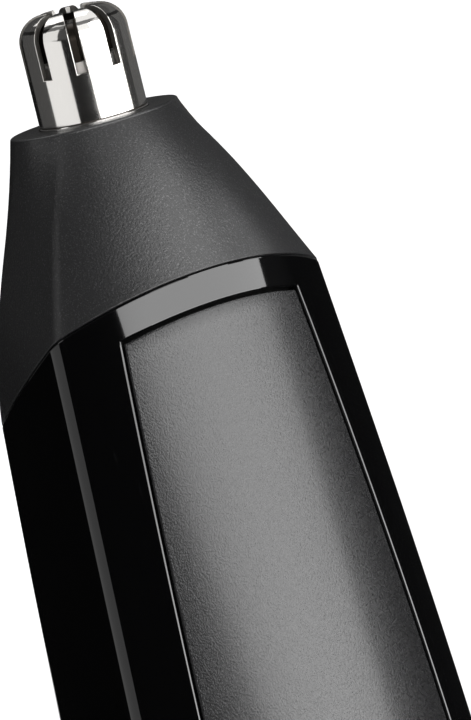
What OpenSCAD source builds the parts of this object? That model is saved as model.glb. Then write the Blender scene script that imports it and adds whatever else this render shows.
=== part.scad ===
// Battery nose hair trimmer with a rotary cutter: a lens-shaped handle that stands on its flat foot,
// a slanted pull-off head and a slotted steel cutter guard on the drive axis.
// Millimetres, +Z up along the drive axis, front to -Y, origin where that axis meets the foot's plane.

/* [Heights] */
// Flat top face of the head cap above the foot
head_top_z = 129; // [125:0.5:140]
// Widest station of the handle
belly_z = 46; // [36:1:56]
// Depth below the head's top face at which the neck sizes hold
neck_drop = 14.2; // [12:0.1:17]
// Depth below the head's top face at which the slanted parting plane crosses the axis
part_drop = 19.7; // [18.5:0.1:21]
// Rise of the parting plane towards the front, per unit of depth
part_slope = 0.58; // [0.45:0.01:0.62]
// Width of the parting line between head cap and housing
part_gap = 0.25; // [0.15:0.05:0.40]
// Height of the battery cap
cap_h = 14; // [12:0.5:17]

/* [Body section] */
// Half width of the body at the neck
neck_half_w = 12.2; // [11.8:0.1:13]
// Half width of the body at the belly
belly_half_w = 15.5; // [14.8:0.1:17]
// Half width of the body at the foot
foot_half_w = 13.4; // [12.8:0.1:15]
// Spread of the half width at the neck, per unit of height
half_w_flare = 0.066; // [0.05:0.002:0.08]
// Front corner ahead of the axis at the neck
neck_front = 7.9; // [7.4:0.1:8.6]
// Front corner ahead of the axis at the belly
belly_front = 11; // [10.5:0.1:12]
// Front corner ahead of the axis at the foot
foot_front = 8.8; // [8.4:0.1:10]
// Spread of the front corner at the neck, per unit of height
front_flare = 0.08; // [0.06:0.005:0.1]
// Back corner behind the axis at the neck
neck_back = 3.65; // [3.2:0.05:4.2]
// Back corner behind the axis at the belly
belly_back = 2.8; // [2.4:0.1:3.4]
// Back corner behind the axis at the foot
foot_back = 2.7; // [2.3:0.1:3.2]
// Crown of the front arc over its corners at the neck
neck_crown = 4.9; // [4.4:0.1:5.4]
// Crown of the front arc over its corners at the belly
belly_crown = 7.5; // [7:0.1:8.2]
// Crown of the front arc over its corners at the foot
foot_crown = 6; // [5.4:0.1:7]
// Growth of the front crown at the neck, per unit of height
crown_flare = 0.049; // [0.03:0.002:0.06]
// Crown of the back arc over its corners
back_crown = 5.4; // [5:0.1:6.2]
// Bow of each side band between its corners
side_bow = 0.35; // [0.2:0.05:0.6]
// Radius of the four soft corners
corner_r = 2; // [1.9:0.1:2.4]
// Wall of the housing
wall = 1.6; // [1.4:0.1:1.8]

/* [Grip panel] */
// Half width of the panel's window at the neck
neck_panel = 8.2; // [7.5:0.1:8.5]
// Half width of the panel's window at the belly
belly_panel = 11.8; // [10.8:0.1:12.1]
// Half width of the panel's window at the foot
foot_panel = 10; // [9:0.1:10.6]
// Spread of the window at the neck, per unit of height
panel_flare = 0.1; // [0.08:0.005:0.11]
// Height of the glossy band between the parting plane and the window
band_h = 2.6; // [2.2:0.1:3.6]
// Height on the axis of the window's lower edge
panel_end_z = 26; // [24:0.5:32]
// Fall of the window's lower edge towards the front, per unit of depth
panel_end_slope = 0.3; // [0.1:0.05:0.4]
// Depth of the window
pocket = 0.9; // [0.7:0.05:1]
// How far the panel's face lies under the housing's face
panel_sink = 0.25; // [0.15:0.05:0.40]
// Gap round the panel
panel_gap = 0.2; // [0.1:0.05:0.3]

/* [Head cap] */
// Radius of the flat top
top_r = 6.75; // [6.4:0.05:7.4]
// Rounding of the top edge
top_round = 0.35; // [0.25:0.05:0.6]
// Angle from the front at which each front ridge meets the round top
ridge_front = 49; // [45:1:58]
// Angle from the front at which each back ridge meets the round top
ridge_back = 88; // [84:1:108]
// Bow of the flank, as a share of its own length
flank_bow = 0.032; // [0:0.002:0.04]
// Shift of that bow, towards the top on the front ridges and towards the parting on the back ridges
bow_shift = 0.55; // [0:0.05:0.8]
// Wall of the flank
flank_wall = 1.5; // [1.2:0.1:1.8]
// Thickness of the top
top_wall = 1.4; // [1.2:0.1:2]
// Radius of the socket that slides over the neck tube
socket_r = 5.05; // [4.95:0.05:5.2]
// Wall of the socket
socket_wall = 1; // [0.8:0.1:1.1]
// Depth of the socket below the top face
socket_drop = 18; // [16:0.5:19]

/* [Cutter] */
// Outer radius of the cutter guard
guard_r = 4.25; // [4.1:0.05:4.3]
// Height of the guard over the head's top face
guard_h = 8.65; // [8:0.05:10]
// Sheet of the guard
guard_t = 0.5; // [0.4:0.05:0.6]
// Radius of the guard's shoulder
shoulder_r = 2.1; // [1.6:0.1:2.4]
// Radius of the open top
mouth_r = 1.75; // [1.4:0.05:2]
// Number of slots
slots = 9; // [6:1:10]
// Width of a slot
slot_w = 0.86; // [0.7:0.02:1]
// Height of the slot floor over the head's top face
slot_floor = 3.55; // [3:0.05:4.5]
// Turn of the slots about the axis, in degrees
slot_turn = 28; // [0:1:40]
// Thickness of the collar at the guard's base
collar_t = 0.15; // [0.1:0.05:0.15]
// Height of the collar over the head's top face
collar_h = 0.25; // [0.15:0.05:0.5]
// Radius of the flange under the head's top
flange_r = 4.95; // [4.8:0.05:4.95]
// Thickness of that flange
flange_t = 0.6; // [0.4:0.1:0.8]
// Height of the retaining ring under the flange
retainer_h = 2; // [1.5:0.1:2.5]
// Gap between the turning cutter and the guard
cutter_gap = 0.25; // [0.15:0.05:0.3]
// Wall of the cutter's rim
rim_t = 0.75; // [0.5:0.05:0.9]
// Height of the rim that shows above the slot floor
rim_show = 0.85; // [0.6:0.05:1.2]
// Number of blades
blades = 3; // [2:1:4]
// Thickness of a blade
blade_t = 0.5; // [0.4:0.05:0.7]
// Radius of the hub under the rim
hub_r = 3.3; // [3:0.1:3.4]
// Depth of the hub's lower end below the head's top face
hub_drop = 11; // [10:0.5:12]
// Height of the hub's upper end over the head's top face
hub_rise = 1; // [0.5:0.1:1.5]
// Depth of the hexagon socket in the hub
hex_depth = 8; // [6:0.5:9]
// Width across flats of the driving hexagon
hex_w = 3; // [2.6:0.1:3.2]
// Gap round the hexagon
hex_gap = 0.12; // [0.08:0.02:0.2]

/* [Drive] */
// Length of the spring under the hub
spring_l = 6; // [5:0.5:7]
// Mean radius of that spring
spring_r = 2.4; // [2.2:0.05:2.5]
// Wire of that spring
spring_wire = 0.5; // [0.4:0.05:0.6]
// Turns of that spring
spring_turns = 4; // [3:1:5]
// Radius of the coupling's shoulder
dog_r = 2.9; // [2.8:0.05:3]
// Depth of the motor deck's top below the head's top face
deck_drop = 27; // [26:0.5:28]
// Thickness of the motor deck
deck_t = 2; // [1.6:0.1:2.4]
// Diameter of the motor can
motor_d = 15.5; // [14.5:0.1:15.8]
// Width of the motor can over its flats
motor_flat = 12; // [10.5:0.1:12.4]
// Length of the motor can
motor_l = 20; // [16:0.5:21]
// Thickness of the motor's end bell
bell_t = 2; // [1.5:0.1:2.5]
// Radius of the motor shaft
shaft_r = 1; // [0.75:0.05:1.2]
// Running clearance of the motor shaft
shaft_gap = 0.05; // [0.03:0.01:0.08]
// Inner radius of the neck tube
neck_bore = 3.7; // [3.6:0.05:3.75]
// Outer radius of the neck tube
neck_r = 4.75; // [4.7:0.05:4.8]
// Section radius of the neck's sealing ring
seal_r = 0.4; // [0.3:0.05:0.45]
// Depth of that ring below the head's top face
seal_drop = 10; // [8:0.5:12]

/* [Cell] */
// Diameter of the cell
cell_d = 14.5; // [14:0.1:14.7]
// Length of the cell with its nub
cell_l = 50.5; // [49:0.1:51]
// Radius of the nub
nub_r = 2.75; // [2:0.1:3]
// Height of the nub
nub_h = 1.2; // [1:0.1:1.6]
// Length of the battery cap's contact spring
contact_l = 5; // [4.5:0.1:6]
// Wire of that spring
contact_wire = 0.6; // [0.5:0.05:0.7]
// Sheet of the contact strips
strip_t = 0.4; // [0.3:0.05:0.5]

/* [Battery cap] */
// Floor of the cap
cap_floor = 1.8; // [1.5:0.1:2.5]
// Rounding of the foot's edge
foot_round = 1.4; // [1:0.1:2]
// Height of the plug that enters the housing
plug_h = 4; // [3.5:0.1:5]
// Wall of the plug
plug_wall = 1.2; // [1:0.1:1.4]
// Gap between the plug and the housing
plug_gap = 0.3; // [0.2:0.05:0.35]

/* [Switch] */
// Height of the switch's middle when off
switch_z = 54; // [52:0.5:56]
// Travel of the switch from off to on
switch_travel = 4; // [3:0.5:5]
// Width of the slide button
button_w = 8.4; // [7:0.1:10]
// Height of the slide button
button_h = 15; // [14.5:0.5:17]
// How far the button stands over the panel
button_rise = 1.7; // [1.2:0.1:2.2]
// Gap between the button and the panel
button_gap = 0.3; // [0.2:0.05:0.4]
// Number of ribs across the button
button_ribs = 4; // [3:1:5]
// Width of the button's stem
stem_w = 3; // [2.4:0.1:3.4]
// Height of the button's stem
stem_h = 6; // [5:0.5:7]
// Gap round the stem in its slot
stem_gap = 0.3; // [0.2:0.05:0.5]

/* [Hidden] */
$fn = 64;

// Lines that the section follows from neck to belly to foot: sizes there and the flare at the neck
half_w_line = [neck_half_w, belly_half_w, foot_half_w, half_w_flare];
front_line = [neck_front, belly_front, foot_front, front_flare];
back_line = [neck_back, belly_back, foot_back, 0];
crown_line = [neck_crown, belly_crown, foot_crown, crown_flare];
panel_line = [neck_panel, belly_panel, foot_panel, panel_flare];

// Steps along each stretch of half a section: panel, frame, corner, side band, corner, back
PANEL_STEPS = 6;
FRAME_STEPS = 2;
CORNER_STEPS = 4;
SIDE_STEPS = 2;
STRETCHES = [PANEL_STEPS, FRAME_STEPS, CORNER_STEPS, SIDE_STEPS, CORNER_STEPS, PANEL_STEPS];
FRONT_RIDGE = PANEL_STEPS + FRAME_STEPS + CORNER_STEPS / 2;
BACK_RIDGE = FRONT_RIDGE + CORNER_STEPS + SIDE_STEPS;
HALF = BACK_RIDGE + CORNER_STEPS / 2 + PANEL_STEPS;
RING = 2 * HALF;
// Rings between the window's upper and lower edge, and along the head's flank
PANEL_ROWS = 10;
FLANK_ROWS = 7;
// Play that keeps faces of one body from lying in each other
EPS = 0.02;
// Overshoot of a cutting body past the face it cuts
CUT = 1;
// Length that surely passes the whole body
REACH = 40;

// Gap between the neck tube and the ring over it
neck_clear = 0.4;
// Boss round the shaft on the motor's upper end, and the gap over it
boss_h = 1.2;
boss_clear = 0.6;
// Cover of the coupling over the shaft's end
dog_cover = 2;

// Heights that follow from the sizes
neck_z = head_top_z - neck_drop;
part_z = head_top_z - part_drop;
deck_z = head_top_z - deck_drop;
motor_z = deck_z - deck_t;
bell_z = motor_z - motor_l;
flange_z = head_top_z - top_wall - flange_t;
retainer_z = flange_z - retainer_h;
neck_top_z = retainer_z - neck_clear;
hub_z = head_top_z - hub_drop;
hub_top_z = head_top_z + hub_rise;
dog_shoulder_z = hub_z - spring_l;
shaft_top_z = dog_shoulder_z - dog_cover;
dog_z = motor_z + boss_h + boss_clear;
guard_top_z = head_top_z + guard_h;
rim_top_z = head_top_z + slot_floor + rim_show;
cell_z = cap_floor + strip_t + contact_l;
cell_top_z = cell_z + cell_l;
shelf_z = cell_top_z + strip_t;
plug_top_z = cap_h + plug_h;

// Value of a section line at a height
function line_at(z, l) =
    let (t = (neck_z - z) / (neck_z - belly_z), u = (belly_z - z) / belly_z)
    z >= belly_z
        ? l[0] + (l[1] - l[0]) * t * t * (3 - 2 * t) + l[3] * (neck_z - belly_z) * t * (1 - t) * (1 - t)
        : l[1] - (l[1] - l[2]) * u * u;

// Crossing, on the +X side, of two circles given by centre and radius
function crossing(a, ra, b, rb) =
    let (
        d = b - a,
        n = norm(d),
        k = (n * n + ra * ra - rb * rb) / (2 * n),
        h = sqrt(max(0, ra * ra - k * k)),
        e = d / n,
        p = a + k * e + h * [-e[1], e[0]],
        q = a + k * e - h * [-e[1], e[0]]
    )
    p[0] > q[0] ? p : q;

function angle_to(a, b) = atan2(b[1] - a[1], b[0] - a[0]);

// Arcs of half a section at a height, each as centre, radius, first and last angle;
// the window's half width splits the front arc
function arcs_at(z, window_cut = 0) =
    let (
        w = line_at(z, half_w_line),
        front = line_at(z, front_line),
        back = line_at(z, back_line),
        crown = line_at(z, crown_line),
        rf = (w * w + crown * crown) / (2 * crown),
        rb = (w * w + back_crown * back_crown) / (2 * back_crown),
        half_side = (front + back) / 2,
        rs = (half_side * half_side + side_bow * side_bow) / (2 * side_bow),
        cf = [0, rf - front - crown],
        cb = [0, back + back_crown - rb],
        cs = [w + side_bow - rs, (back - front) / 2],
        c1 = crossing(cf, rf - corner_r, cs, rs - corner_r),
        c2 = crossing(cb, rb - corner_r, cs, rs - corner_r),
        a1 = angle_to(cf, c1),
        s1 = angle_to(cs, c1),
        s2 = angle_to(cs, c2),
        b2 = angle_to(cb, c2),
        window = -90 + asin((line_at(z, panel_line) - window_cut) / rf)
    )
    [
        [cf, rf, -90, window],
        [cf, rf, window, a1],
        [c1, corner_r, a1, s1],
        [cs, rs, s1, s2],
        [c2, corner_r, s2, b2],
        [cb, rb, b2, 90],
    ];

// Front face of the body over the axis plane at a height
function crown_y(z) = -line_at(z, front_line) - line_at(z, crown_line);

// Front face of the body at a distance x from the middle plane, moved out by off
function front_y(x, z, off) = let (a = arcs_at(z)[0]) a[0][1] - sqrt(pow(a[1] + off, 2) - x * x);

// Depths of the stack behind the front wall: the switch's carrier, clear of the wall at the top of
// its travel, the wiper, the contacts on their board, and the cell
carrier_lip = 2;
carrier_w = stem_w + 2 * carrier_lip;
carrier_h = 12;
carrier_t = 1.5;
carrier_gap = 0.3;
carrier_y = front_y(carrier_w / 2, switch_z + carrier_h / 2 + switch_travel, -wall) + carrier_gap;
wiper_y = carrier_y + carrier_t;
wiper_gap = 0.2;
contact_y = wiper_y + strip_t + wiper_gap;
board_t = 1;
board_y = contact_y + strip_t + board_t;
board_gap = 0.5;
cell_ahead = -board_y - board_gap - cell_d / 2;

// Stretch and share of the way along it for a step of the half section
function stretch_of(j, k = 0) =
    j <= STRETCHES[k] || k == len(STRETCHES) - 1
        ? [k, j / STRETCHES[k]]
        : stretch_of(j - STRETCHES[k], k + 1);

// Point of the half section at a height, moved out by off
function half_point(j, z, off, window_cut = 0) =
    let (
        s = stretch_of(j),
        a = arcs_at(z, window_cut)[s[0]],
        t = a[2] + (a[3] - a[2]) * s[1]
    )
    a[0] + (a[1] + off) * [cos(t), sin(t)];

// Point of the whole section; steps past HALF are on the -X side
function section_point(j, z, off, window_cut = 0) =
    let (k = (j + RING) % RING)
    k <= HALF
        ? half_point(k, z, off, window_cut)
        : let (p = half_point(RING - k, z, off, window_cut)) [-p[0], p[1]];

// Point of the body's face on a plane that crosses the axis at z and rises by slope towards the front
function face_point(j, z, slope, off, window_cut = 0) =
    let (
        p = section_point(j, z, off, window_cut),
        q = section_point(j, z - slope * p[1], off, window_cut),
        r = section_point(j, z - slope * q[1], off, window_cut)
    )
    [r[0], r[1], z - slope * r[1]];

function face_ring(z, slope, off) = [for (j = [0 : RING - 1]) face_point(j, z, slope, off)];

// Two triangles of a four-cornered patch, corners clockwise as seen from outside
function patch(a, b, c, d) = [[a, b, c], [a, c, d]];

function joined(lists) = [for (l = lists) for (v = l) v];

// Triangles between neighbouring rings of n points
function ring_faces(rings, n) = joined([
    for (i = [0 : rings - 2], j = [0 : n - 1])
        patch(i * n + j, i * n + (j + 1) % n, (i + 1) * n + (j + 1) % n, (i + 1) * n + j)
]);

// Closed solid through rings that run down the outside and up the inside, with flat ends
module ring_solid(rings) {
    n = len(rings[0]);
    last = (len(rings) - 1) * n;
    polyhedron(
        points = joined(rings),
        faces = concat(
            ring_faces(len(rings), n),
            [[for (j = [n - 1 : -1 : 0]) j]],
            [[for (j = [0 : n - 1]) last + j]]
        )
    );
}

// Closed band through rings whose last meets the first
module ring_band(rings) {
    points = joined(rings);
    faces = ring_faces(len(rings) + 1, len(rings[0]));
    polyhedron(points = points, faces = [for (f = faces) [for (v = f) v % len(points)]]);
}

// Round wire along a path of points, with flat ends
module wire(path, r, sides = 6) {
    rings = [
        for (i = [0 : len(path) - 1])
            let (
                d = path[min(i + 1, len(path) - 1)] - path[max(i - 1, 0)],
                t = d / norm(d),
                u = cross(t, [0, 0, 1]) / norm(cross(t, [0, 0, 1])),
                v = cross(t, u)
            )
            [for (k = [0 : sides - 1]) path[i] + r * (cos(360 * k / sides) * u - sin(360 * k / sides) * v)]
    ];
    ring_solid(rings);
}

// Path of a coil that rises from z0 to z1 while its radius goes from r0 to r1
COIL_STEPS = 10;
function coil_path(r0, r1, z0, z1, turns) = [
    for (i = [0 : turns * COIL_STEPS])
        let (t = i / (turns * COIL_STEPS), r = r0 + (r1 - r0) * t)
        [r * cos(360 * turns * t), r * sin(360 * turns * t), z0 + (z1 - z0) * t]
];

// Least distance between points of a path that lie at least half a turn apart, less the wire
function coil_gap(path, wire_d) = min([
    for (i = [0 : len(path) - 1], j = [i + COIL_STEPS / 2 : 1 : len(path) - 1])
        norm(path[i] - path[j])
]) - wire_d;

module tube(r_out, r_in, z0, z1) {
    difference() {
        translate([0, 0, z0]) cylinder(r = r_out, h = z1 - z0);
        translate([0, 0, z0 - CUT]) cylinder(r = r_in, h = z1 - z0 + 2 * CUT);
    }
}

// Box from its middle in X, its span in Y and its span in Z
module bar(x, w, y0, y1, z0, z1) {
    translate([x - w / 2, y0, z0]) cube([w, y1 - y0, z1 - z0]);
}

// Profile of a round-shouldered cup, to be turned about the axis
module cup_profile(r, h, shoulder) {
    square([r - shoulder, h]);
    square([r, h - shoulder]);
    translate([r - shoulder, h - shoulder]) circle(shoulder);
}

// Steel guard: a drawn cup whose fingers bend over towards an open mouth
module cutter_guard() {
    base = top_wall + flange_t;
    color("silver") difference() {
        translate([0, 0, flange_z]) union() {
            rotate_extrude() difference() {
                intersection() {
                    cup_profile(guard_r, base + guard_h, shoulder_r);
                    square([guard_r, base + guard_h]);
                }
                intersection() {
                    cup_profile(guard_r - guard_t, base + guard_h - guard_t, shoulder_r - guard_t);
                    square([guard_r, base + guard_h]);
                }
            }
            tube(guard_r + collar_t, guard_r - guard_t / 2, 0, base + collar_h);
            tube(flange_r, guard_r - guard_t / 2, 0, flange_t);
        }
        translate([0, 0, guard_top_z - guard_t - CUT]) cylinder(r = mouth_r, h = guard_t + 2 * CUT);
        for (i = [0 : slots - 1])
            rotate(-90 - slot_turn + i * 360 / slots)
                translate([0, -slot_w / 2, head_top_z + slot_floor])
                    cube([guard_r + CUT, slot_w, guard_h]);
    }
}

// Turning cutter: a bright rim with blades that sweep under the fingers
module inner_cutter() {
    r = guard_r - guard_t - cutter_gap;
    h = guard_top_z - guard_t - cutter_gap - hub_top_z;
    round_r = shoulder_r - guard_t - cutter_gap;
    color("gainsboro") union() {
        tube(r, r - rim_t, hub_top_z, rim_top_z);
        intersection() {
            translate([0, 0, hub_top_z]) rotate_extrude() intersection() {
                cup_profile(r - EPS, h, round_r);
                square([r, h]);
            }
            for (i = [0 : blades - 1])
                rotate(i * 360 / blades)
                    translate([0, -blade_t / 2, hub_top_z])
                        cube([r, blade_t, h]);
        }
    }
}

// Plastic hub that carries the cutter and takes the driving hexagon
module cutter_hub() {
    socket_w = hex_w + 2 * hex_gap;
    color("dimgray") difference() {
        translate([0, 0, hub_z]) cylinder(r = hub_r, h = hub_top_z - hub_z);
        translate([0, 0, hub_z - CUT]) cylinder(d = socket_w / cos(30), h = hex_depth + CUT, $fn = 6);
    }
}

// Ring that holds the guard's flange up against the head's top
module guard_retainer() {
    color("gray") tube(flange_r, guard_r - guard_t, retainer_z, flange_z);
}

// Angle of a point from the front, seen from above
function turn_of(p) = atan2(abs(p[0]), -p[1]);

// Round ring of RING points whose ridges stand under those of the parting section
function round_ring(r, z, off) =
    let (
        rim = face_ring(part_z + part_gap, part_slope, off),
        turns = [
            [0, 0], [turn_of(rim[FRONT_RIDGE]), ridge_front],
            [turn_of(rim[BACK_RIDGE]), ridge_back], [180, 180],
        ]
    )
    [for (p = rim) let (a = lookup(turn_of(p), turns)) [sign(p[0]) * r * sin(a), -r * cos(a), z]];

// Ring of the flank at a share t of the way from a round ring to the parting, bowed outwards
function flank_ring(upper, lower, t) = [
    for (j = [0 : RING - 1])
        let (
            a = upper[j],
            b = lower[j],
            d = b - a,
            out = [b[0], b[1], 0] / norm([b[0], b[1]]),
            lean = d * out,
            side = (out * -d[2] + [0, 0, lean]) / norm([d[2], lean]),
            shift = lookup(turn_of(a), [[ridge_front, bow_shift], [ridge_back, -bow_shift]])
        )
        a + t * d + 4 * flank_bow * t * (1 - t) * (1 + shift * (1 - 2 * t)) * norm(d) * side
];

// Soft-touch head: a flank from the round top to the slanted parting, with a socket for the neck tube
flank_top_wall = 0.8 * flank_wall;
guard_play = 0.05;
module head_cap() {
    rim = face_ring(part_z + part_gap, part_slope, 0);
    rim_in = face_ring(part_z + part_gap, part_slope, -flank_wall);
    round_out = round_ring(top_r, head_top_z - top_round, 0);
    round_in = round_ring(top_r - flank_top_wall, head_top_z - top_wall, -flank_wall);
    rings = concat(
        [for (a = [90 : -30 : 30])
            round_ring(top_r - top_round * (1 - cos(a)), head_top_z - top_round * (1 - sin(a)), 0)],
        [for (i = [0 : FLANK_ROWS]) flank_ring(round_out, rim, i / FLANK_ROWS)],
        [for (i = [0 : FLANK_ROWS]) flank_ring(round_in, rim_in, 1 - i / FLANK_ROWS)]
    );
    color([0.16, 0.16, 0.17]) difference() {
        union() {
            ring_solid(rings);
            tube(socket_r + socket_wall, socket_r, head_top_z - socket_drop, head_top_z - top_wall / 2);
        }
        translate([0, 0, flange_z])
            cylinder(r = guard_r + collar_t + guard_play, h = top_wall + flange_t + CUT);
        translate([0, 0, head_top_z - socket_drop - CUT])
            cylinder(r = socket_r, h = socket_drop - top_wall + CUT);
    }
}

// Coil that lifts the hub so that the blades run close under the fingers
spring_clear = 0.1;
module cutter_spring() {
    path = coil_path(
        spring_r, spring_r,
        dog_shoulder_z + spring_wire / 2 + EPS, hub_z - spring_wire / 2 - spring_clear, spring_turns
    );
    echo(cutter_spring_gap = coil_gap(path, spring_wire));
    color("silver") wire(path, spring_wire / 2);
}

// Coupling on the motor shaft: a sleeve, a shoulder for the spring and the driving hexagon
hex_clear = 0.5;
module drive_dog() {
    color("ivory") difference() {
        union() {
            translate([0, 0, dog_z]) cylinder(r = dog_r, h = dog_shoulder_z - dog_z);
            translate([0, 0, dog_shoulder_z - EPS])
                cylinder(d = hex_w / cos(30), h = spring_l + hex_depth - hex_clear, $fn = 6);
        }
        translate([0, 0, dog_z - CUT]) cylinder(r = shaft_r + EPS, h = shaft_top_z - dog_z + CUT + EPS);
    }
}

module motor_shaft() {
    low_z = bell_z + bell_t;
    color("lightgray") translate([0, 0, low_z])
        cylinder(r = shaft_r, h = shaft_top_z - low_z);
}

// Outline of the motor: a round can with two flats
module motor_outline() {
    intersection() {
        circle(d = motor_d);
        square([motor_d, motor_flat], center = true);
    }
}

boss_gap = 0.4;
module motor_can() {
    color("darkgray") difference() {
        union() {
            translate([0, 0, bell_z]) linear_extrude(motor_l) motor_outline();
            translate([0, 0, motor_z]) cylinder(r = neck_bore - boss_gap, h = boss_h);
        }
        translate([0, 0, bell_z + bell_t - CUT])
            cylinder(r = shaft_r + shaft_gap, h = motor_l + boss_h + CUT);
    }
}

module motor_end_bell() {
    color("whitesmoke") translate([0, 0, bell_z - bell_t]) linear_extrude(bell_t) motor_outline();
}

terminal_x = 4;
terminal_w = 2;
terminal_h = 3.5;
terminal_z = bell_z - bell_t - terminal_h;
module motor_terminals() {
    color("goldenrod") for (s = [-1, 1])
        bar(s * terminal_x, terminal_w, -strip_t / 2, strip_t / 2, terminal_z, bell_z - bell_t);
}

// Chassis: neck tube and motor deck, rails beside the motor, a shelf over the cell and its trough
deck_r = 10.4;
deck_ahead = 2;
deck_back = 5.6;
rail_t = 1.5;
rail_gap = 0.25;
rail_x = motor_d / 2 + rail_gap + rail_t / 2;
rail_front = -3.8;
rail_back = 3;
shelf_t = 2;
trough_gap = 0.3;
trough_wall = 1.2;
trough_r = cell_d / 2 + trough_gap + trough_wall;
trough_lip = 2;
trough_front = -cell_ahead - trough_lip;
trough_clear = 2;
trough_z = plug_top_z + trough_clear;
screw_x = 7.6;
screw_y = -6.2;
screw_r = 0.95;
screw_play = 0.1;
seal_play = 0.05;
seal_stand = 0.15;
seal_mid_r = neck_r - seal_r + seal_stand;
module chassis() {
    color([0.25, 0.25, 0.27]) difference() {
        union() {
            translate([0, 0, motor_z]) cylinder(r = neck_r, h = neck_top_z - motor_z);
            translate([0, 0, motor_z]) linear_extrude(deck_t) intersection() {
                translate([0, -deck_ahead]) circle(deck_r);
                translate([-REACH / 2, deck_back - REACH]) square(REACH);
            }
            for (s = [-1, 1])
                bar(s * rail_x, rail_t, rail_front, rail_back, shelf_z, motor_z + EPS);
            bar(0, 2 * rail_x + rail_t, board_y, rail_back, shelf_z, shelf_z + shelf_t);
            difference() {
                translate([0, -cell_ahead, trough_z]) cylinder(r = trough_r, h = shelf_z + EPS - trough_z);
                translate([0, -cell_ahead, trough_z - CUT])
                    cylinder(r = trough_r - trough_wall, h = shelf_z - trough_z + 2 * CUT);
                bar(0, REACH, -REACH, trough_front, trough_z - CUT, shelf_z + CUT);
            }
        }
        translate([0, 0, motor_z - CUT]) cylinder(r = neck_bore, h = neck_top_z - motor_z + 2 * CUT);
        translate([0, 0, head_top_z - seal_drop]) rotate_extrude()
            translate([seal_mid_r, 0]) circle(seal_r + seal_play);
        for (s = [-1, 1])
            translate([s * screw_x, screw_y, motor_z - CUT])
                cylinder(r = screw_r + screw_play, h = deck_t + 2 * CUT);
    }
}

screw_l = 8;
screw_head_r = 1.7;
screw_head_h = 1.2;
module chassis_screws() {
    color("silver") for (s = [-1, 1]) translate([s * screw_x, screw_y, deck_z]) {
        translate([0, 0, -screw_l]) cylinder(r = screw_r, h = screw_l + EPS);
        cylinder(r = screw_head_r, h = screw_head_h);
    }
}

module neck_seal() {
    color("black") translate([0, 0, head_top_z - seal_drop]) rotate_extrude()
        translate([seal_mid_r, 0]) circle(seal_r);
}

// Planes of the housing's rings as height on the axis and rise towards the front, from the parting down
window_top = 1;
window_end = window_top + PANEL_ROWS;
function panel_plane(t, inset = 0) = let (top_z = part_z - band_h - inset, end_z = panel_end_z + inset)
    [top_z + (end_z - top_z) * t, part_slope + (-panel_end_slope - part_slope) * t];
housing_planes = concat(
    [[part_z, part_slope]],
    [for (i = [0 : PANEL_ROWS]) panel_plane(i / PANEL_ROWS)],
    [[cap_h, 0]]
);

// Tubular housing with a shallow window in its front, built as one skin
module housing_skin() {
    rows = len(housing_planes);
    outer = [for (p = housing_planes) face_ring(p[0], p[1], 0)];
    inner = [for (i = [rows - 1 : -1 : 0]) face_ring(housing_planes[i][0], housing_planes[i][1], -wall)];
    cols = 2 * PANEL_STEPS + 1;
    base = 2 * rows * RING;
    floor_points = [
        for (i = [window_top : window_end], k = [-PANEL_STEPS : PANEL_STEPS])
            face_point(k, housing_planes[i][0], housing_planes[i][1], -pocket)
    ];
    function out_at(i, k) = i * RING + (k + RING) % RING;
    function floor_at(i, k) = base + (i - window_top) * cols + k + PANEL_STEPS;
    function in_window(i, j) =
        i >= window_top && i < window_end && (j < PANEL_STEPS || j >= RING - PANEL_STEPS);
    skin = joined([
        for (i = [0 : 2 * rows - 1], j = [0 : RING - 1]) if (!in_window(i, j))
            let (m = (i + 1) % (2 * rows), n = (j + 1) % RING)
            patch(i * RING + j, i * RING + n, m * RING + n, m * RING + j)
    ]);
    floor_faces = joined([
        for (i = [window_top : window_end - 1], k = [-PANEL_STEPS : PANEL_STEPS - 1])
            patch(floor_at(i, k), floor_at(i, k + 1), floor_at(i + 1, k + 1), floor_at(i + 1, k))
    ]);
    edge_rows = joined([
        for (k = [-PANEL_STEPS : PANEL_STEPS - 1]) concat(
            patch(out_at(window_top, k), out_at(window_top, k + 1),
                floor_at(window_top, k + 1), floor_at(window_top, k)),
            patch(floor_at(window_end, k), floor_at(window_end, k + 1),
                out_at(window_end, k + 1), out_at(window_end, k))
        )
    ]);
    edge_cols = joined([
        for (i = [window_top : window_end - 1]) concat(
            patch(out_at(i + 1, -PANEL_STEPS), out_at(i, -PANEL_STEPS),
                floor_at(i, -PANEL_STEPS), floor_at(i + 1, -PANEL_STEPS)),
            patch(floor_at(i + 1, PANEL_STEPS), floor_at(i, PANEL_STEPS),
                out_at(i, PANEL_STEPS), out_at(i + 1, PANEL_STEPS))
        )
    ]);
    polyhedron(
        points = concat(joined(outer), joined(inner), floor_points),
        faces = concat(skin, floor_faces, edge_rows, edge_cols)
    );
}

// Post for a chassis screw, with a rib that roots it in the front wall
screw_boss_h = 10;
screw_boss_r = 1.8;
rib_t = 1.2;
rib_root = 0.3;
hole_spare = 0.5;
module screw_boss() {
    low_z = motor_z - screw_boss_h;
    translate([screw_x, screw_y, low_z]) cylinder(r = screw_boss_r, h = screw_boss_h);
    translate([screw_x - rib_t / 2, 0, 0]) rotate([90, 0, 90]) linear_extrude(rib_t) polygon([
        [screw_y, low_z],
        [screw_y, motor_z],
        [front_y(screw_x, motor_z, -wall) - rib_root, motor_z],
        [front_y(screw_x, low_z, -wall) - rib_root, low_z],
    ]);
}

module housing() {
    color([0.05, 0.05, 0.05]) difference() {
        union() {
            housing_skin();
            screw_boss();
            mirror([1, 0, 0]) screw_boss();
        }
        for (s = [-1, 1])
            translate([s * screw_x, screw_y, deck_z - screw_l - hole_spare])
                cylinder(r = screw_r + EPS, h = screw_l + hole_spare);
        switch_slot();
    }
}

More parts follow.
